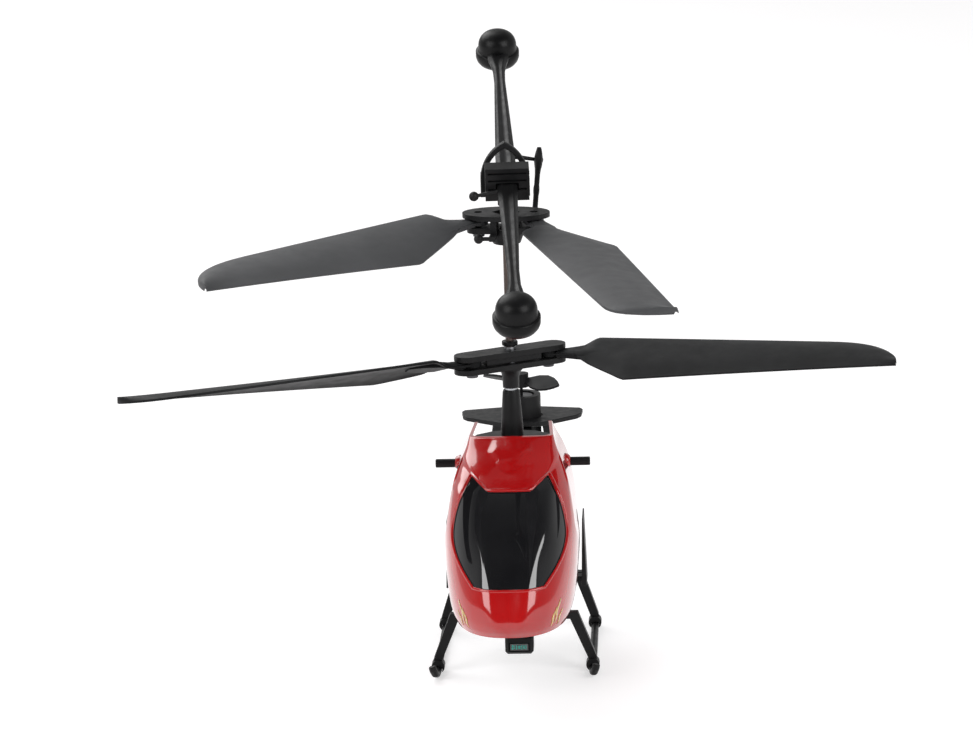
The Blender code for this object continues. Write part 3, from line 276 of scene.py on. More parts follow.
def rounded_profile(points, radius=0.25, steps=4):
    """Rounds each inner corner of a (radius, height) outline."""
    out = [points[0]]
    for before, corner, after in zip(points, points[1:], points[2:]):
        corner_v = Vector(corner)
        into = Vector(before) - corner_v
        away = Vector(after) - corner_v
        cut = min(radius, into.length * 0.45, away.length * 0.45)
        start = corner_v + into.normalized() * cut
        end = corner_v + away.normalized() * cut
        for i in range(steps + 1):
            share = i / steps
            first = start.lerp(corner_v, share)
            out.append(tuple(first.lerp(corner_v.lerp(end, share), share)))
    out.append(points[-1])
    return out


def read_stations(rows, key, column):
    """Smooth reading of a table of design stations (Catmull-Rom between the rows)."""
    last = len(rows) - 1
    at = 0
    while at < last - 1 and key > rows[at + 1][0]:
        at += 1
    near, far = rows[at], rows[at + 1]
    share = min(max((key - near[0]) / (far[0] - near[0]), 0.0), 1.0)
    before, after = rows[max(at - 1, 0)], rows[min(at + 2, last)]
    span = far[0] - near[0]
    slope_near = (far[column] - before[column]) / (far[0] - before[0]) * span
    slope_far = (after[column] - near[column]) / (after[0] - near[0]) * span
    square, cube = share * share, share ** 3
    return (
        (2 * cube - 3 * square + 1) * near[column]
        + (cube - 2 * square + share) * slope_near
        + (3 * square - 2 * cube) * far[column]
        + (cube - square) * slope_far
    )


def smoothstep(low, high, value):
    share = min(max((value - low) / (high - low), 0.0), 1.0)
    return share * share * (3 - 2 * share)


def apply_modifiers(item):
    """Bakes an object's modifiers into its own mesh."""
    graph = bpy.context.evaluated_depsgraph_get()
    mesh = bpy.data.meshes.new_from_object(item.evaluated_get(graph))
    item.modifiers.clear()
    old = item.data
    item.data = mesh
    bpy.data.meshes.remove(old)


def boolean(item, cutter, operation):
    modifier = item.modifiers.new("cut", "BOOLEAN")
    modifier.operation = operation
    modifier.solver = "EXACT"
    modifier.object = cutter
    apply_modifiers(item)
    bpy.data.objects.remove(cutter, do_unlink=True)


# ---------------------------------------------------------------- canopy and windshield

# Height, nose line, half width, depth of the rounded front, squareness, rear edge, rear half width.
CANOPY = (
    (16.8, -45.6, 13.4, 24.0, 2.4, -4.0, 13.4),
    (18.5, -46.6, 14.2, 26.0, 2.4, -1.0, 14.1),
    (21.0, -47.0, 14.8, 27.0, 2.4, 1.0, 14.6),
    (25.0, -45.8, 15.3, 27.0, 2.45, 3.0, 14.8),
    (30.0, -42.4, 15.7, 25.0, 2.5, 3.5, 15.0),
    (36.0, -37.4, 15.75, 21.0, 2.5, 2.5, 15.0),
    (41.0, -32.6, 15.1, 19.0, 2.6, 1.5, 14.6),
    (46.4, -26.0, 13.9, 17.0, 2.9, 3.0, 13.5),
    (50.0, -18.6, 12.3, 14.0, 3.8, 5.0, 12.0),
    (52.6, -12.6, 10.9, 10.0, 5.2, 6.0, 10.5),
    (54.8, -8.0, 10.1, 7.0, 8.0, 6.8, 9.3),
)
CANOPY_FOOT = CANOPY[0][0]
CANOPY_TOP = CANOPY[-1][0]
CREASE_ANGLE = 17.0
FRONT_SHARE = 0.72
SIDE_BOW = 1.4

# The raised panel of the roof, as half of its outline in (across, height).
ROOF_PANEL = ((4.3, 54.5), (5.7, 52.4), (3.1, 50.3), (0.0, 49.1))

# The pane seen along the nose, right half, from the sill's corner up to the lip's corner.
PANE = (
    (8.0, 28.0), (10.6, 31.0), (12.4, 34.0), (13.1, 37.0), (12.7, 40.5), (11.4, 44.4), (8.8, 48.6),
    (5.0, 46.2),
)
PANE_CENTRE = Vector((0.0, 38.0))

# The middle of the pins' line, the shell's thickness, and how proud and broad the nose's ridges are.
PIN_PLACE = (0.0, -2.0, 47.0)
SKIN = 0.8
RIDGE_HEIGHT = 0.85
RIDGE_BREADTH = 2.8


def inside_distance(outline, x, z):
    """How far a point lies inside a convex outline of (x, z) corners; negative outside it."""
    best = 1e9
    for (ax, az), (bx, bz) in zip(outline, outline[1:] + outline[:1]):
        edge = Vector((bx - ax, bz - az))
        normal = Vector((edge.y, -edge.x)).normalized()
        best = min(best, normal.dot(Vector((x - ax, z - az))))
    return best


def roof_panel_outline():
    right = list(ROOF_PANEL)
    left = [(-x, z) for x, z in reversed(right[:-1])]
    outline = right + left
    if inside_distance(outline, 0.0, 52.5) < 0:
        outline = outline[::-1]
    return outline


ROOF_OUTLINE = roof_panel_outline()


def nose_ridges(x, z):
    """How far the two soft ridges of the nose stand forward; they fade out on the pane."""
    ridge_at = 3.0 + 2.0 * smoothstep(18.0, 28.0, z)
    fade = smoothstep(16.5, 21.0, z) * (1.0 - smoothstep(29.0, 42.0, z))
    return RIDGE_HEIGHT * fade * math.exp(-(((abs(x) - ridge_at) / RIDGE_BREADTH) ** 2))


def roof_relief(x, z):
    """How far the roof's raised panel stands forward, and the facets beside the lip fall back."""
    relief = 1.3 * smoothstep(-0.2, 1.8, inside_distance(ROOF_OUTLINE, x, z))
    ridge_line = 5.0 + (z - 46.2) * 1.10
    lip = smoothstep(45.0, 47.0, z) * (1.0 - smoothstep(51.0, 53.0, z))
    relief -= 1.5 * lip * smoothstep(0.0, 2.4, abs(x) - ridge_line)
    return relief


def shell_point(turn, height, skin=0.0, plain=False):
    """turn runs from -1 at the left rear edge, through 0 at the nose, to 1 at the right rear."""
    nose, width, depth, square, rear, rear_width = (
        read_stations(CANOPY, height, column) for column in range(1, 7)
    )
    width -= skin
    rear_width -= skin
    nose += skin
    depth -= skin
    shoulder = nose + depth
    rear = max(rear, shoulder + 0.5)
    last = CREASE_ANGLE * smoothstep(30.0, 38.0, height)
    share = min(abs(turn) / FRONT_SHARE, 1.0)
    angle = math.radians(90.0 - (90.0 - last) * share)
    across = width * math.cos(angle) ** (2 / square)
    along = shoulder - depth * math.sin(angle) ** (2 / square)
    if abs(turn) > FRONT_SHARE:
        back = (abs(turn) - FRONT_SHARE) / (1.0 - FRONT_SHARE)
        bow = SIDE_BOW * back * (1.0 - back) * (1.0 - smoothstep(30.0, 38.0, height))
        across += (rear_width - across) * back + bow
        along += (rear - along) * back
    across = math.copysign(across, turn)
    along -= nose_ridges(across, height)
    if not plain:
        along -= roof_relief(across, height) * (1.0 - smoothstep(0.9, 1.0, share))
    return Vector((across, along, height))


def add_shell(bm, plain=False, columns=220, rows=150):
    """The shell as a closed skin: outer face, inner face and the edges between them."""
    grids = []
    for inner in (0.0, SKIN):
        grid = []
        for j in range(rows + 1):
            height = CANOPY_FOOT + (CANOPY_TOP - CANOPY_FOOT) * j / rows
            line = [shell_point(2.0 * i / columns - 1.0, height, inner, plain) for i in range(columns + 1)]
            grid.append([bm.verts.new(place(*point)) for point in line])
        grids.append(grid)
    outer, inner = grids
    for j in range(rows):
        for i in range(columns):
            bm.faces.new((outer[j][i], outer[j][i + 1], outer[j + 1][i + 1], outer[j + 1][i]))
            bm.faces.new((inner[j][i], inner[j + 1][i], inner[j + 1][i + 1], inner[j][i + 1]))
    for j in range(rows):
        for i in (0, columns):
            bm.faces.new((outer[j][i], outer[j + 1][i], inner[j + 1][i], inner[j][i]))
    for i in range(columns):
        for j in (0, rows):
            bm.faces.new((outer[j][i], inner[j][i], inner[j][i + 1], outer[j][i + 1]))


def pane_outline(inset=0.0, steps=8):
    """The pane's rounded outline in (x, z): a curve through its side points, straight at the lip."""
    right = [Vector(point) for point in PANE]
    curve = []
    for i in range(len(right) - 2):
        before, near = right[max(i - 1, 0)], right[i]
        far, after = right[i + 1], right[min(i + 2, len(right) - 2)]
        for k in range(steps):
            t = k / steps
            point = (
                (2 * near) + (far - before) * t
                + (2 * before - 5 * near + 4 * far - after) * t * t
                + (3 * near - before - 3 * far + after) * t ** 3
            ) * 0.5
            curve.append(point)
    curve += [right[-2], right[-2].lerp(right[-1], 0.5), right[-1]]
    reaches = [point - PANE_CENTRE for point in curve]
    curve = [PANE_CENTRE + reach * (1.0 - inset / reach.length) for reach in reaches]
    corner = curve[0]
    sill = [Vector((corner.x * k / 4, corner.y - 0.25 * (1 - abs(k) / 4))) for k in range(-3, 4)]
    lip = [Vector((curve[-1].x * k / 4, curve[-1].y)) for k in range(3, -4, -1)]
    left = [Vector((-point.x, point.y)) for point in reversed(curve)]
    return sill + curve + lip + left


def front_point(x, z):
    """The point of the shell's front at a place seen along the nose."""
    low, high = 0.0, FRONT_SHARE
    for _ in range(30):
        middle = (low + high) / 2
        if shell_point(middle, z).x < abs(x):
            low = middle
        else:
            high = middle
    point = shell_point(math.copysign(low, x), z)
    return Vector((x, point.y, z))


def pane_cutter(name, inset):
    bm = bmesh.new()
    outline = pane_outline(inset)
    rings = [[place(point.x, y, point.y) for point in outline] for y in (-60.0, -11.0)]
    add_loft(bm, rings)
    bmesh.ops.recalc_face_normals(bm, faces=bm.faces)
    mesh = bpy.data.meshes.new(name)
    bm.to_mesh(mesh)
    bm.free()
    item = bpy.data.objects.new(name, mesh)
    LOOKS.objects.link(item)
    return item


def rim_line(name, inset, radius, lift, material):
    """A bead that follows the pane's outline on the shell's face."""
    curve = bpy.data.curves.new(name, "CURVE")
    curve.dimensions = "3D"
    curve.bevel_depth = radius * MM
    curve.bevel_resolution = 2
    points = [front_point(point.x, point.y) for point in pane_outline(inset)]
    spline = curve.splines.new("POLY")
    spline.points.add(len(points) - 1)
    for target, point in zip(spline.points, points):
        target.co = (*place(point.x, point.y - lift, point.z), 1.0)
    spline.use_cyclic_u = True
    curve.materials.append(material)
    item = bpy.data.objects.new(name, curve)
    LOOKS.objects.link(item)
    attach(item, "fuselage")
    return item


def pin_hole_cutter():
    bm = bmesh.new()
    profile = [(1.4, -20.0), (1.4, 20.0)]
    sideways = Matrix.Rotation(math.radians(90.0), 3, "Y")
    add_turned(bm, profile, place(*PIN_PLACE), sideways, 32)
    bmesh.ops.recalc_face_normals(bm, faces=bm.faces)
    mesh = bpy.data.meshes.new("pin_holes")
    bm.to_mesh(mesh)
    bm.free()
    item = bpy.data.objects.new("pin_holes", mesh)
    LOOKS.objects.link(item)
    return item


def make_canopy():
    bm = bmesh.new()
    add_shell(bm)
    shell = piece("canopy_shell", bm, PAINT, "fuselage", ("canopy",))
    boolean(shell, pane_cutter("pane_opening", 0.0), "DIFFERENCE")
    boolean(shell, pin_hole_cutter(), "DIFFERENCE")
    smooth_by_angle(shell.data, 30.0)

    bm = bmesh.new()
    add_shell(bm, True)
    pane = piece("windshield_pane", bm, GLASS, "fuselage", ("windshield",))
    boolean(pane, pane_cutter("pane_keep", 0.25), "INTERSECT")
    smooth_by_angle(pane.data, 30.0)
    rim_line("windshield_gasket", 0.12, 0.16, -0.12, GLOSS_BLACK)
    rim_line("canopy_rim", -0.35, 0.42, -0.22, PAINT)


# The flourish's strokes: the turn and height (see shell_point) of the low end and of the high end.
STROKES = ((0.300, 18.4, 0.336, 22.6), (0.334, 19.0, 0.372, 24.2), (0.372, 18.2, 0.404, 21.6))


def make_flash(side):
    """A plain yellow flourish on the shell's lower side: three strokes side by side, no letters."""
    bm = bmesh.new()
    for low_turn, low_z, high_turn, high_z in STROKES:
        before = None
        for k in range(13):
            share = k / 12
            turn = low_turn + (high_turn - low_turn) * share + 0.006 * math.sin(share * 9.0)
            height = low_z + (high_z - low_z) * share
            half = 0.0105 * math.sin(math.pi * (0.08 + 0.84 * share)) ** 0.7
            pair = []
            for edge in (-half, half):
                point = shell_point(side * (turn + edge), height, -0.07)
                pair.append(bm.verts.new(place(*point)))
            if before:
                bm.faces.new((before[0], before[1], pair[1], pair[0]))
            before = pair
    name = "left" if side < 0 else "right"
    item = piece(f"side_flash_{name}", bm, FLASH, "fuselage")
    thick = item.modifiers.new("film", "SOLIDIFY")
    thick.thickness = 0.03 * MM
    apply_modifiers(item)


# ---------------------------------------------------------------- blades

BLADE_LENGTH = 85.5
BLADE_LEAD = 6.2
BLADE_TRAIL_ROOT = 12.0
BLADE_TRAIL_TIP = 8.0
BLADE_NECK = 2.1
UPRIGHT = 0.99999

# Name, turn from +X, leading side, rise, pitch at root and at tip (all angles in degrees), where the
# tip's rounding begins, and where the trailing edge is full.
BLADES = (
    ("lower_blade_right", -13.6, 1, 2.0, 21.0, 7.0, 66.0, 21.0),
    ("lower_blade_left", 206.0, 1, 0.8, 28.0, 12.0, 66.0, 21.0),
    ("upper_blade_right", -72.4, -1, -1.2, 4.0, 1.0, 75.0, 27.0),
    ("upper_blade_left", 223.0, -1, 1.2, 24.0, 4.5, 62.0, 27.0),
)


def blade_edges(x, tip_start, trail_full):
    """Leading and trailing edge across the blade, with the corners of the root eased."""
    lead_full = smoothstep(6.0, 12.0, x)
    lead = BLADE_NECK + (BLADE_LEAD - BLADE_NECK) * lead_full
    ease = 2.5
    flat = min(max((x - 7.0) / (trail_full - 7.0), 0.0), 1.0)
    corner = smoothstep(trail_full - ease, trail_full + ease, x)
    ramp = BLADE_NECK + (BLADE_TRAIL_ROOT - BLADE_NECK) * flat
    taper = BLADE_TRAIL_ROOT + (BLADE_TRAIL_TIP - BLADE_TRAIL_ROOT) * max(x - trail_full, 0.0) / (
        BLADE_LENGTH - trail_full
    )
    trail = ramp + (taper - ramp) * corner
    if x > tip_start:
        run = min((x - tip_start) / (BLADE_LENGTH - tip_start), 1.0)
        lead = -trail + (BLADE_LEAD + trail) * (1.0 - run ** 3.0) ** 0.6
        lead = max(lead, -trail + 0.8)
    return lead, -trail


def blade_ring(x, hand, pitch_root, pitch_tip, tip_start, trail_full, steps=16):
    lead, trail = blade_edges(x, tip_start, trail_full)
    share = min(max((x - 7.0) / (BLADE_LENGTH - 7.0), 0.0), 1.0)
    twist_in = smoothstep(4.5, 11.5, x)
    pitch = math.radians(pitch_root + (pitch_tip - pitch_root) * share) * twist_in
    top, bottom = [], []
    for i in range(steps + 1):
        chord = i / steps
        across = lead + (trail - lead) * chord
        arch = 0.9 * twist_in * (1.0 - (2.0 * chord - 1.0) ** 2)
        body = 0.5 * (0.35 + 0.65 * math.sin(math.pi * min(chord * 1.15 + 0.04, 1.0)) ** 0.6)
        for side, row in ((1, top), (-1, bottom)):
            lift = arch + side * body
            y = across * math.cos(pitch) - lift * math.sin(pitch)
            z = across * math.sin(pitch) + lift * math.cos(pitch)
            row.append(Vector((x, y * hand, z)))
    return top + bottom[::-1]


def make_blade(name, turn, hand, rise, pitch_root, pitch_tip, tip_start, trail_full):
    joint = JOINTS[f"{name}_swing"]
    origin = Vector(joint["pos_m"])
    up = Vector(joint["axis"])
    level = Matrix.Rotation(math.radians(turn), 3, "Z")
    if up.z < UPRIGHT:
        tilt = Vector((0, 0, 1)).rotation_difference(up).to_matrix()
        level = tilt @ level
    lift = Matrix.Rotation(-math.radians(rise), 3, "Y")
    bm = bmesh.new()
    stations = [1.0 + 12.0 * k / 16 for k in range(16)]
    stations += [13.0 + (BLADE_LENGTH - 14.5) * k / 44 for k in range(45)]
    stations += [84.2, 84.8, 85.2, 85.45]
    rings = []
    for x in stations:
        ring = blade_ring(x, hand, pitch_root, pitch_tip, tip_start, trail_full)
        rings.append([origin + level @ lift @ (point * MM) for point in ring])
    add_loft(bm, rings)
    eye = rounded_profile([(0.95, -0.75), (2.3, -0.75), (2.3, 0.75), (0.95, 0.75)], 0.15)
    add_turned(bm, eye, origin, level, 40)
    # The lower blades take the darker copy of the blade plastic: painted shade.
    material = BLADE_PAINTED_SHADE if name.startswith("lower") else BLADE_GREY
    title = name.replace("blade", "rotor_blade")
    item = piece(title, bm, material, NODE_BODY[name], (name,))
    add_root_tab(item, origin, level @ lift, hand, math.radians(pitch_root))


def add_root_tab(item, origin, level, hand, pitch):
    """The thick stub that the blade springs from, drawn as a tapered pad on its neck."""
    bm = bmesh.new()
    bm.from_mesh(item.data)
    rings = []
    for x, half, low, high, roll in (
        (2.4, 1.7, -0.70, 0.70, 0.0), (5.0, 2.0, -0.80, 0.85, 0.25), (9.0, 2.5, -0.55, 1.15, 0.85),
        (13.5, 2.4, -0.25, 1.25, 0.93), (16.5, 1.5, 0.0, 1.05, 0.9),
    ):
        cos, sin = math.cos(pitch * roll), math.sin(pitch * roll)
        outline = (
            (-half, low), (half, low), (half, high * 0.6), (half * 0.6, high), (-half * 0.6, high),
            (-half, high * 0.6),
        )
        ring = []
        for y, z in outline:
            rolled = Vector((x, hand * (y * cos - z * sin), y * sin + z * cos))
            ring.append(origin + level @ (rolled * MM))
        rings.append(ring)
    add_loft(bm, rings)
    bmesh.ops.recalc_face_normals(bm, faces=bm.faces)
    bm.to_mesh(item.data)
    bm.free()
    smooth_by_angle(item.data, 35.0)


# ---------------------------------------------------------------- flybar, weights and hoop

FLYBAR_LEVEL = 116.8
FLYBAR_REACH = 61.5
FLYBAR_TURN = math.radians(3.85)
FLYBAR_TILT = math.radians(20.0)
FLYBAR_SLIP = 0.35
FLYBAR_AXES = Matrix.Rotation(FLYBAR_TURN, 3, "Z") @ Matrix.Rotation(FLYBAR_TILT, 3, "X")
HOOP_AXES = Matrix.Rotation(FLYBAR_TURN, 3, "Z")

# The saddle's faces beyond these distances stand out by the growth.
SADDLE_CHEEK = 3.5
SADDLE_TOP = 4.2
SADDLE_GROWTH = 0.55


def on_flybar(x, y, z):
    centre = place(0, 0, FLYBAR_LEVEL) + HOOP_AXES @ Vector((FLYBAR_SLIP * MM, 0, 0))
    return centre + FLYBAR_AXES @ (Vector((x, y, z)) * MM)


def make_weight(name, side):
    """A glossy domed cap; a groove parts the dome from the fuller band under it."""
    outline = [(0.001, 4.7)]
    outline += [
        (4.75 * math.sin(math.radians(a)) ** 0.85, 0.5 + 4.2 * math.cos(math.radians(a)) ** 0.8)
        for a in range(12, 89, 6)
    ]
    outline += [
        (4.78, 0.3), (4.82, -0.25), (5.15, -0.35), (5.4, -0.6), (5.4, -2.1), (5.1, -3.0), (4.5, -3.8),
        (4.0, -4.15), (0.001, -4.2),
    ]
    bm = bmesh.new()
    add_turned(bm, outline, on_flybar(0, side * FLYBAR_REACH, 0), FLYBAR_AXES, 72)
    piece(f"weight_cap_{name}", bm, GLOSS_BLACK, "flybar", (f"flybar_weight_{name}",), 50.0)


# The bar's middle block, and the bar's half widths from its front end to its middle.
BAR_BLOCK = (
    (-3.35, -1.3), (-3.15, -1.5), (3.05, -1.5), (3.25, -1.3), (3.25, 0.9), (3.05, 1.1), (-3.15, 1.1),
    (-3.35, 0.9),
)
BAR_WIDTHS = (
    (-59.0, 2.5), (-55.6, 2.55), (-53.0, 1.95), (-50.0, 1.5), (-44.0, 1.35), (-30.0, 1.75), (-8.0, 2.35),
    (0.0, 2.35),
)
BALL_RADIUS = 1.15


def make_flybar():
    """The bar: two raised ridges with a channel between, flared where it meets its weights."""
    bm = bmesh.new()
    stations = BAR_WIDTHS + tuple((-y, half) for y, half in reversed(BAR_WIDTHS[:-1]))
    rings = []
    for y, half in stations:
        crest = half * 0.55
        profile = (
            (-half, -0.45), (-half + 0.3, -0.65), (half - 0.3, -0.65), (half, -0.45), (half, 0.30),
            (crest + 0.40, 0.72), (crest + 0.15, 0.90), (crest - 0.15, 0.92), (crest * 0.45, 0.62),
            (0.0, 0.50), (-crest * 0.45, 0.62), (-crest + 0.15, 0.92), (-crest - 0.15, 0.90),
            (-crest - 0.40, 0.72), (-half, 0.30),
        )
        rings.append([on_flybar(x, y, z) for x, z in profile])
    add_loft(bm, rings)
    rings = []
    for y, grow in ((-3.0, 0.94), (-2.8, 1.0), (2.8, 1.0), (3.0, 0.94)):
        rings.append([on_flybar(x * grow, y, z * grow) for x, z in BAR_BLOCK])
    add_loft(bm, rings)
    sideways = FLYBAR_AXES @ Matrix.Rotation(math.radians(90.0), 3, "Y")
    for side in (-1, 1):
        turns = [math.radians(a) for a in range(0, 181, 12)]
        ball = [(BALL_RADIUS * math.sin(a) + 0.001, -BALL_RADIUS * math.cos(a)) for a in turns]
        centre = on_flybar(side * 7.9, side * 8.0, -1.3)
        add_turned(bm, ball, centre, sideways, 32)
        foot = on_flybar(side * 1.2, side * 8.0, -0.05)
        reach = centre - foot
        neck_axes = Vector((0, 0, 1)).rotation_difference(reach).to_matrix()
        length = reach.length / MM
        add_turned(bm, [(0.65, 0.0), (0.5, length * 0.5), (0.42, length - 0.7)], foot, neck_axes, 20)
    piece("stabiliser_bar", bm, FRAME_BLACK, "flybar", ("flybar",), 40.0)


def hoop_outline(half_width, foot, shoulder, apex, steps=18):
    """A pointed arch: straight legs to the shoulder, then an arc to the apex on each side."""
    rise = apex - shoulder
    radius = (rise * rise + half_width * half_width) / (2 * half_width)
    reach = math.asin(min(rise / radius, 1.0))
    if rise > radius:
        reach = math.pi - reach
    right = [(half_width, foot)]
    for i in range(steps + 1):
        angle = reach * i / steps
        right.append((half_width - radius + radius * math.cos(angle), shoulder + radius * math.sin(angle)))
    return right + [(-x, z) for x, z in reversed(right[:-1])]


def broaden_saddle(item):
    """The saddle's cheeks and top stand out past the hoop it sits in front of."""
    to_bar = FLYBAR_AXES.transposed()
    centre = on_flybar(0, 0, 0)
    for vert in item.data.vertices:
        across, along, up = to_bar @ (vert.co - centre) / MM
        if abs(across) > SADDLE_CHEEK:
            across += math.copysign(SADDLE_GROWTH, across)
        if up > SADDLE_TOP:
            up += SADDLE_GROWTH
        vert.co = on_flybar(across, along, up)


def between(start, end, share):
    return start[0] + (end[0] - start[0]) * share, start[1] + (end[1] - start[1]) * share


def make_hoop():
    """The hoop's closed ring, with rounded faces, and the boss that sits on the shaft."""
    outer = hoop_outline(5.8, -5.4, -1.5, 7.6)
    inner = hoop_outline(4.6, -3.9, -1.5, 6.1)
    centre = place(0, 0, FLYBAR_LEVEL)
    bm = bmesh.new()
    rings = []
    for y, ease in ((-1.2, 0.125), (-0.95, 0.0), (0.95, 0.0), (1.2, 0.125)):
        shrunk = [between(near, far, ease) for near, far in zip(outer, inner)]
        grown = [between(far, near, ease) for near, far in zip(outer, inner)]
        ring = []
        for outline in (shrunk, grown):
            ring.append([bm.verts.new(centre + HOOP_AXES @ (Vector((x, y, z)) * MM)) for x, z in outline])
        rings.append(ring)
    count = len(outer)
    for low, high in zip(rings, rings[1:]):
        for k in (0, 1):
            for i in range(count):
                j = (i + 1) % count
                bm.faces.new((low[k][i], low[k][j], high[k][j], high[k][i]))
    for ring in (rings[0], rings[-1]):
        for i in range(count):
            j = (i + 1) % count
            bm.faces.new((ring[0][i], ring[0][j], ring[1][j], ring[1][i]))
    boss = rounded_profile([(1.12, -7.6), (1.9, -7.6), (1.9, -5.2), (2.6, -4.6), (1.12, -4.6)], 0.2)
    add_turned(bm, boss, centre, HOOP_AXES, 40)
    piece("mast_hoop", bm, FRAME_BLACK, "upper_rotor", ("shaft_head",), 40.0)


# ---------------------------------------------------------------- link rod

HUB_TURN = math.radians(-3.5)
HUB_TILT = math.radians(2.5)
HUB_BALL = Vector((5.8, 8.0, -2.4))

# Distance below the upper ball (as a share of the rod between the balls, plus millimetres), half width.
LINK_LEAF = (
    (0.0, -3.0, 0.35), (0.0, -2.5, 0.80), (0.0, -1.7, 1.40), (0.0, -0.8, 1.85), (0.0, 0.3, 2.0),
    (0.0, 1.3, 1.75), (0.0, 2.3, 1.15), (0.0, 3.4, 0.85), (0.5, -1.6, 0.80), (0.5, -0.7, 1.15),
    (0.5, 0.1, 1.20), (0.5, 1.0, 0.85), (1.0, -3.2, 0.85), (1.0, -2.0, 1.20), (1.0, -1.0, 1.80),
    (1.0, 0.0, 2.0), (1.0, 1.0, 1.75), (1.0, 1.7, 1.1), (1.0, 2.0, 0.6),
)


def make_link_rod():
    """A slim flat rod with a leaf-shaped eye at each end, from the flybar's ball to the hub's."""
    top = Vector(JOINTS["link_rod_swing"]["pos_m"])
    hub_axes = Matrix.Rotation(HUB_TURN, 3, "Z") @ Matrix.Rotation(HUB_TILT, 3, "X")
    low = Vector(JOINTS["upper_hub_teeter"]["pos_m"]) + hub_axes @ (HUB_BALL * MM)
    up = (top - low).normalized()
    sideways = HOOP_AXES @ Vector((1.0, 0.0, 0.0))
    sideways = (sideways - up * sideways.dot(up)).normalized()
    axes = Matrix((sideways, up.cross(sideways), up)).transposed()
    length = (top - low).length / MM
    bm = bmesh.new()
    rings = []
    for share, more, half in LINK_LEAF:
        z = -(share * length + more)
        thick = 0.36 + 0.30 * half
        profile = (
            (-thick, -half * 0.7), (-thick * 0.6, -half), (thick * 0.6, -half), (thick, -half * 0.7),
            (thick, half * 0.7), (thick * 0.6, half), (-thick * 0.6, half), (-thick, half * 0.7),
        )
        rings.append([top + axes @ (Vector((x, y, z)) * MM) for x, y in profile])
    add_loft(bm, rings)
    rod = piece("leaf_link", bm, FRAME_BLACK, "link_rod", ("link_rod",), 40.0)
    across = axes @ Matrix.Rotation(math.radians(90.0), 3, "Y")
    for centre in (top, low):
        cutter_mesh = bmesh.new()
        add_turned(cutter_mesh, [(1.35, -3.0), (1.35, 3.0)], centre, across, 32)
        bmesh.ops.recalc_face_normals(cutter_mesh, faces=cutter_mesh.faces)
        mesh = bpy.data.meshes.new("eye_hole")
        cutter_mesh.to_mesh(mesh)
        cutter_mesh.free()
        cutter = bpy.data.objects.new("eye_hole", mesh)
        LOOKS.objects.link(cutter)
        boolean(rod, cutter, "DIFFERENCE")
    smooth_by_angle(rod.data, 35.0)


# ---------------------------------------------------------------- chin label and pin collars

def add_block(bm, low, high):
    rings = []
    for z in (low[2], high[2]):
        corners = ((low[0], low[1]), (high[0], low[1]), (high[0], high[1]), (low[0], high[1]))
        rings.append([place(x, y, z) for x, y in corners])
    add_loft(bm, rings)


BAR_GAP = 0.19


def make_chin_label():
    """The chin's dark window, with a row of plain teal bars of uneven width on it."""
    bm = bmesh.new()
    add_block(bm, (-0.3, -36.95, 11.0), (3.9, -36.8, 12.6))
    piece("chin_window", bm, GLASS, "fuselage")
    bm = bmesh.new()
    x = 0.05
    for number, width in enumerate((0.42, 0.20, 0.30, 0.52, 0.26, 0.38, 0.22)):
        drop = 0.12 * (number % 2)
        add_block(bm, (x, -36.99, 11.25 + drop), (x + width, -36.93, 12.35 - drop))
        x += width + BAR_GAP
    piece("chin_marks", bm, TEAL, "fuselage")


def make_pin_collars():
    """The red funnels where the canopy's pins come through the shell."""
    for name, side in (("left", -1), ("right", 1)):
        axes = Matrix.Rotation(math.radians(90.0 * side), 3, "Y")
        profile = (
            (2.0, 12.6), (1.85, 13.1), (1.6, 13.5), (1.4, 13.7), (1.3, 13.75), (1.22, 13.65), (1.22, 12.6),
        )
        bm = bmesh.new()
        rings = []
        for radius, height in profile:
            ring = []
            for i in range(40):
                angle = 2 * math.pi * i / 40
                local = Vector((radius * math.cos(angle), radius * math.sin(angle), height))
                ring.append(place(*PIN_PLACE) + axes @ (local * MM))
            rings.append(ring)
        rows = add_loft(bm, rings, caps=False)
        for i in range(40):
            j = (i + 1) % 40
            bm.faces.new((rows[-1][i], rows[-1][j], rows[0][j], rows[0][i]))
        piece(f"pin_collar_{name}", bm, PAINT, "fuselage", (), 50.0)


# ---------------------------------------------------------------- turned pieces

def make_turned(name, node, material, profile):
    bm = bmesh.new()
    add_turned(bm, profile, place(0, 0, 0), Matrix.Identity(3), 64)
    piece(name, bm, material, NODE_BODY[node], (node,))


def make_mast():
    sleeve = (
        (1.62, 50.5), (2.7, 50.5), (2.7, 54.0), (2.62, 55.5), (2.42, 59.0), (2.05, 63.9), (1.85, 64.4),
        (1.62, 64.4),
    )
    make_turned("mast_tube", "mast_sleeve", FRAME_BLACK, sleeve)
    collar = rounded_profile([(1.12, 75.3), (1.9, 75.3), (1.9, 76.4), (1.12, 76.4)], 0.25)
    make_turned("stop_collar", "shaft_collar", GLOSS_BLACK, collar)


# ---------------------------------------------------------------- CAD nodes with softened edges

def refined(node, width=0.22, material=None, segments=3):
    """A copy of a CAD node with its flat faces joined and its edges rounded."""
    bm = bmesh.new()
    bm.from_mesh(frame["nodes"][node].data)
    bmesh.ops.remove_doubles(bm, verts=bm.verts, dist=0.002 * MM)
    bmesh.ops.dissolve_limit(bm, angle_limit=math.radians(1.0), verts=bm.verts, edges=bm.edges)
    slot = NODE_SLOT[node]
    item = piece(f"{node}_finished", bm, material or SLOT_LOOKS[slot], NODE_BODY[node], (node,), 30.0)
    bevel = item.modifiers.new("soft_edges", "BEVEL")
    bevel.width = width * MM
    bevel.segments = segments
    bevel.limit_method = "ANGLE"
    bevel.angle_limit = math.radians(40.0)
    bevel.use_clamp_overlap = True
    bevel.harden_normals = True
    return item


# ---------------------------------------------------------------- stage, light and camera

WORLD_FRONT = 0.08
WORLD_BACK = 0.62
WORLD_CEILING = 0.25


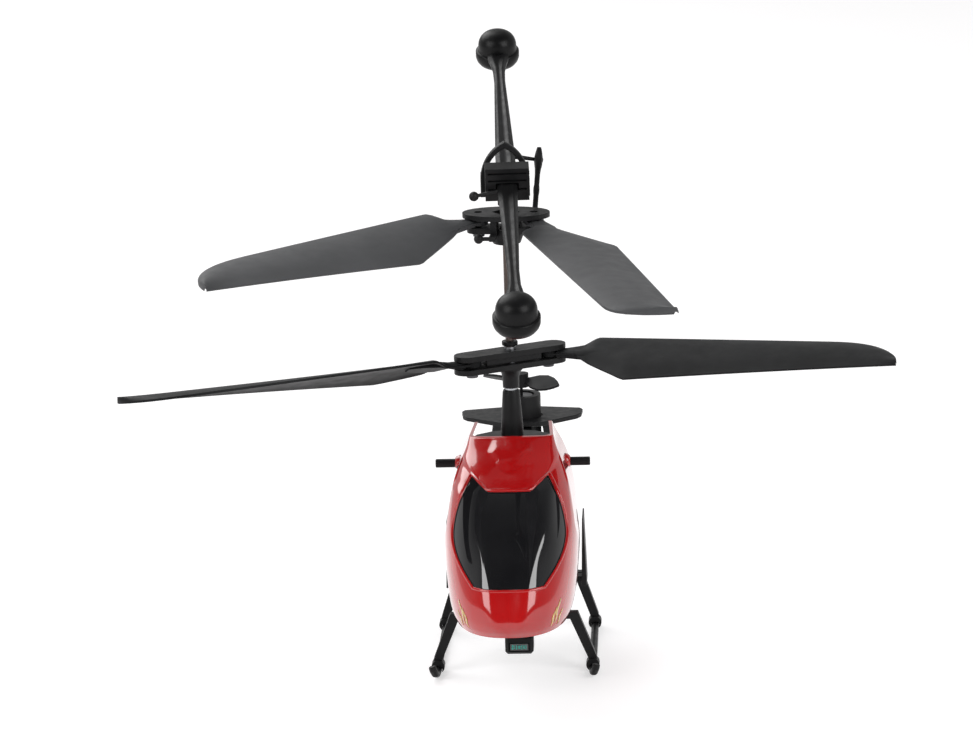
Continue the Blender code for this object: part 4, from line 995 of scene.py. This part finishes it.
def make_stage():
    bpy.ops.mesh.primitive_plane_add(size=8.0, location=(0.0, 1.5, 0.0))
    floor = bpy.context.active_object
    floor.name = "studio_floor_sheet"
    floor.data.materials.append(studio_floor())


def make_world():
    """A white backdrop: full white to look at, and dimmer, with a dark ceiling, as a light."""
    world = bpy.data.worlds.new("studio")
    bpy.context.scene.world = world
    world.use_nodes = True
    tree = world.node_tree
    where = tree.nodes.new("ShaderNodeTexCoord")
    split = tree.nodes.new("ShaderNodeSeparateXYZ")
    tree.links.new(where.outputs["Generated"], split.inputs["Vector"])
    behind = ramp(tree, split.outputs["Y"], -0.42, 0.40, WORLD_FRONT, WORLD_BACK)
    overhead = ramp(tree, split.outputs["Z"], 0.55, 0.9, 1.0, WORLD_CEILING)
    product = tree.nodes.new("ShaderNodeMath")
    product.operation = "MULTIPLY"
    tree.links.new(behind, product.inputs[0])
    tree.links.new(overhead, product.inputs[1])
    lit = tree.nodes["Background"]
    tree.links.new(product.outputs["Value"], lit.inputs["Strength"])
    seen = tree.nodes.new("ShaderNodeBackground")
    for background in (lit, seen):
        background.inputs["Color"].default_value = (1.0, 1.0, 1.0, 1.0)
    path = tree.nodes.new("ShaderNodeLightPath")
    choice = tree.nodes.new("ShaderNodeMixShader")
    tree.links.new(path.outputs["Is Camera Ray"], choice.inputs["Fac"])
    tree.links.new(lit.outputs["Background"], choice.inputs[1])
    tree.links.new(seen.outputs["Background"], choice.inputs[2])
    tree.links.new(choice.outputs["Shader"], tree.nodes["World Output"].inputs["Surface"])


def ramp(tree, value, start, end, low, high):
    node = tree.nodes.new("ShaderNodeMapRange")
    node.interpolation_type = "SMOOTHSTEP"
    node.inputs["From Min"].default_value = start
    node.inputs["From Max"].default_value = end
    node.inputs["To Min"].default_value = low
    node.inputs["To Max"].default_value = high
    tree.links.new(value, node.inputs["Value"])
    return node.outputs["Result"]


def soft_light(name, at, aim, size, power):
    light = bpy.data.lights.new(name, "AREA")
    light.shape = "RECTANGLE"
    light.size, light.size_y = size
    light.energy = power
    item = bpy.data.objects.new(name, light)
    bpy.context.scene.collection.objects.link(item)
    item.location = at
    item.rotation_euler = (aim - at).to_track_quat("-Z", "Y").to_euler()


def make_lights():
    """Two boxes in front, which give the nose its twin highlights, and a key light behind, above."""
    body = place(0, -20, 40)
    soft_light("left_box", body + Vector((-0.76, -0.62, 0.60)), body, (0.70, 0.84), 9.0)
    soft_light("right_box", body + Vector((0.76, -0.62, 0.60)), body, (0.70, 0.84), 9.0)
    soft_light("key_top", body + Vector((-0.80, 0.98, 1.20)), body, (1.2, 1.2), 17.0)


CAMERA_PLACE = (37.7, -849.3, 273.0)
CAMERA_HEADING = math.radians(2.93)
CAMERA_PITCH = math.radians(13.55)
CAMERA_ROLL = math.radians(1.75)


def make_camera():
    """A long view from in front, looking a little down on the toy, slightly rolled."""
    data = bpy.data.cameras.new("photo_view")
    data.sensor_width = 36.0
    data.lens = 135.7
    data.clip_start = 0.01
    item = bpy.data.objects.new("photo_view", data)
    bpy.context.scene.collection.objects.link(item)
    level = math.cos(CAMERA_PITCH)
    right = Vector((math.cos(CAMERA_HEADING), math.sin(CAMERA_HEADING), 0.0))
    ahead = Vector((-right.y * level, right.x * level, -math.sin(CAMERA_PITCH)))
    up = right.cross(ahead)
    rolled_right = right * math.cos(CAMERA_ROLL) - up * math.sin(CAMERA_ROLL)
    rolled_up = up * math.cos(CAMERA_ROLL) + right * math.sin(CAMERA_ROLL)
    turn = Matrix((rolled_right, rolled_up, -ahead)).transposed()
    item.matrix_world = Matrix.Translation(place(*CAMERA_PLACE)) @ turn.to_4x4()
    bpy.context.scene.camera = item


# ---------------------------------------------------------------- build

for node, cad_object in frame["nodes"].items():
    cad_object.data.materials.clear()
    cad_object.data.materials.append(SLOT_LOOKS[NODE_SLOT[node]])

make_canopy()
for flash_side in (-1, 1):
    make_flash(flash_side)
for blade in BLADES:
    make_blade(*blade)
make_flybar()
for weight_name, weight_side in (("front", -1), ("rear", 1)):
    make_weight(weight_name, weight_side)
make_hoop()
make_link_rod()
make_chin_label()
make_pin_collars()
make_mast()

FINE_EDGES = (
    "lower_hub_top", "lower_hub_bottom", "upper_hub_clamp",
    "front_strut", "rear_strut", "side_guard_left", "side_guard_right", "tailplane", "tail_fin_left",
    "tail_fin_right", "tail_motor_housing", "belly_tray", "gear_frame", "skid_left",
    "skid_right", "canopy_pin_left", "canopy_pin_right", "switch_housing", "power_switch", "charging_socket",
)
for node in FINE_EDGES:
    refined(node)
refined("upper_hub_plate", material=FRAME_BLACK)
# The tail rotor wears the darker blade copy too, with its painted shade.
refined("tail_rotor", material=BLADE_PAINTED_SHADE)
broaden_saddle(refined("flybar_saddle"))
for node in ("tail_motor", "lower_screw_left", "lower_screw_right", "upper_screw_left", "upper_screw_right"):
    refined(node, 0.2, DARK_STEEL)
for node in ("chin_housing", "battery"):
    refined(node, 0.5, segments=4)

make_stage()
make_world()
make_lights()
make_camera()
bpy.context.scene.view_settings.view_transform = "Standard"
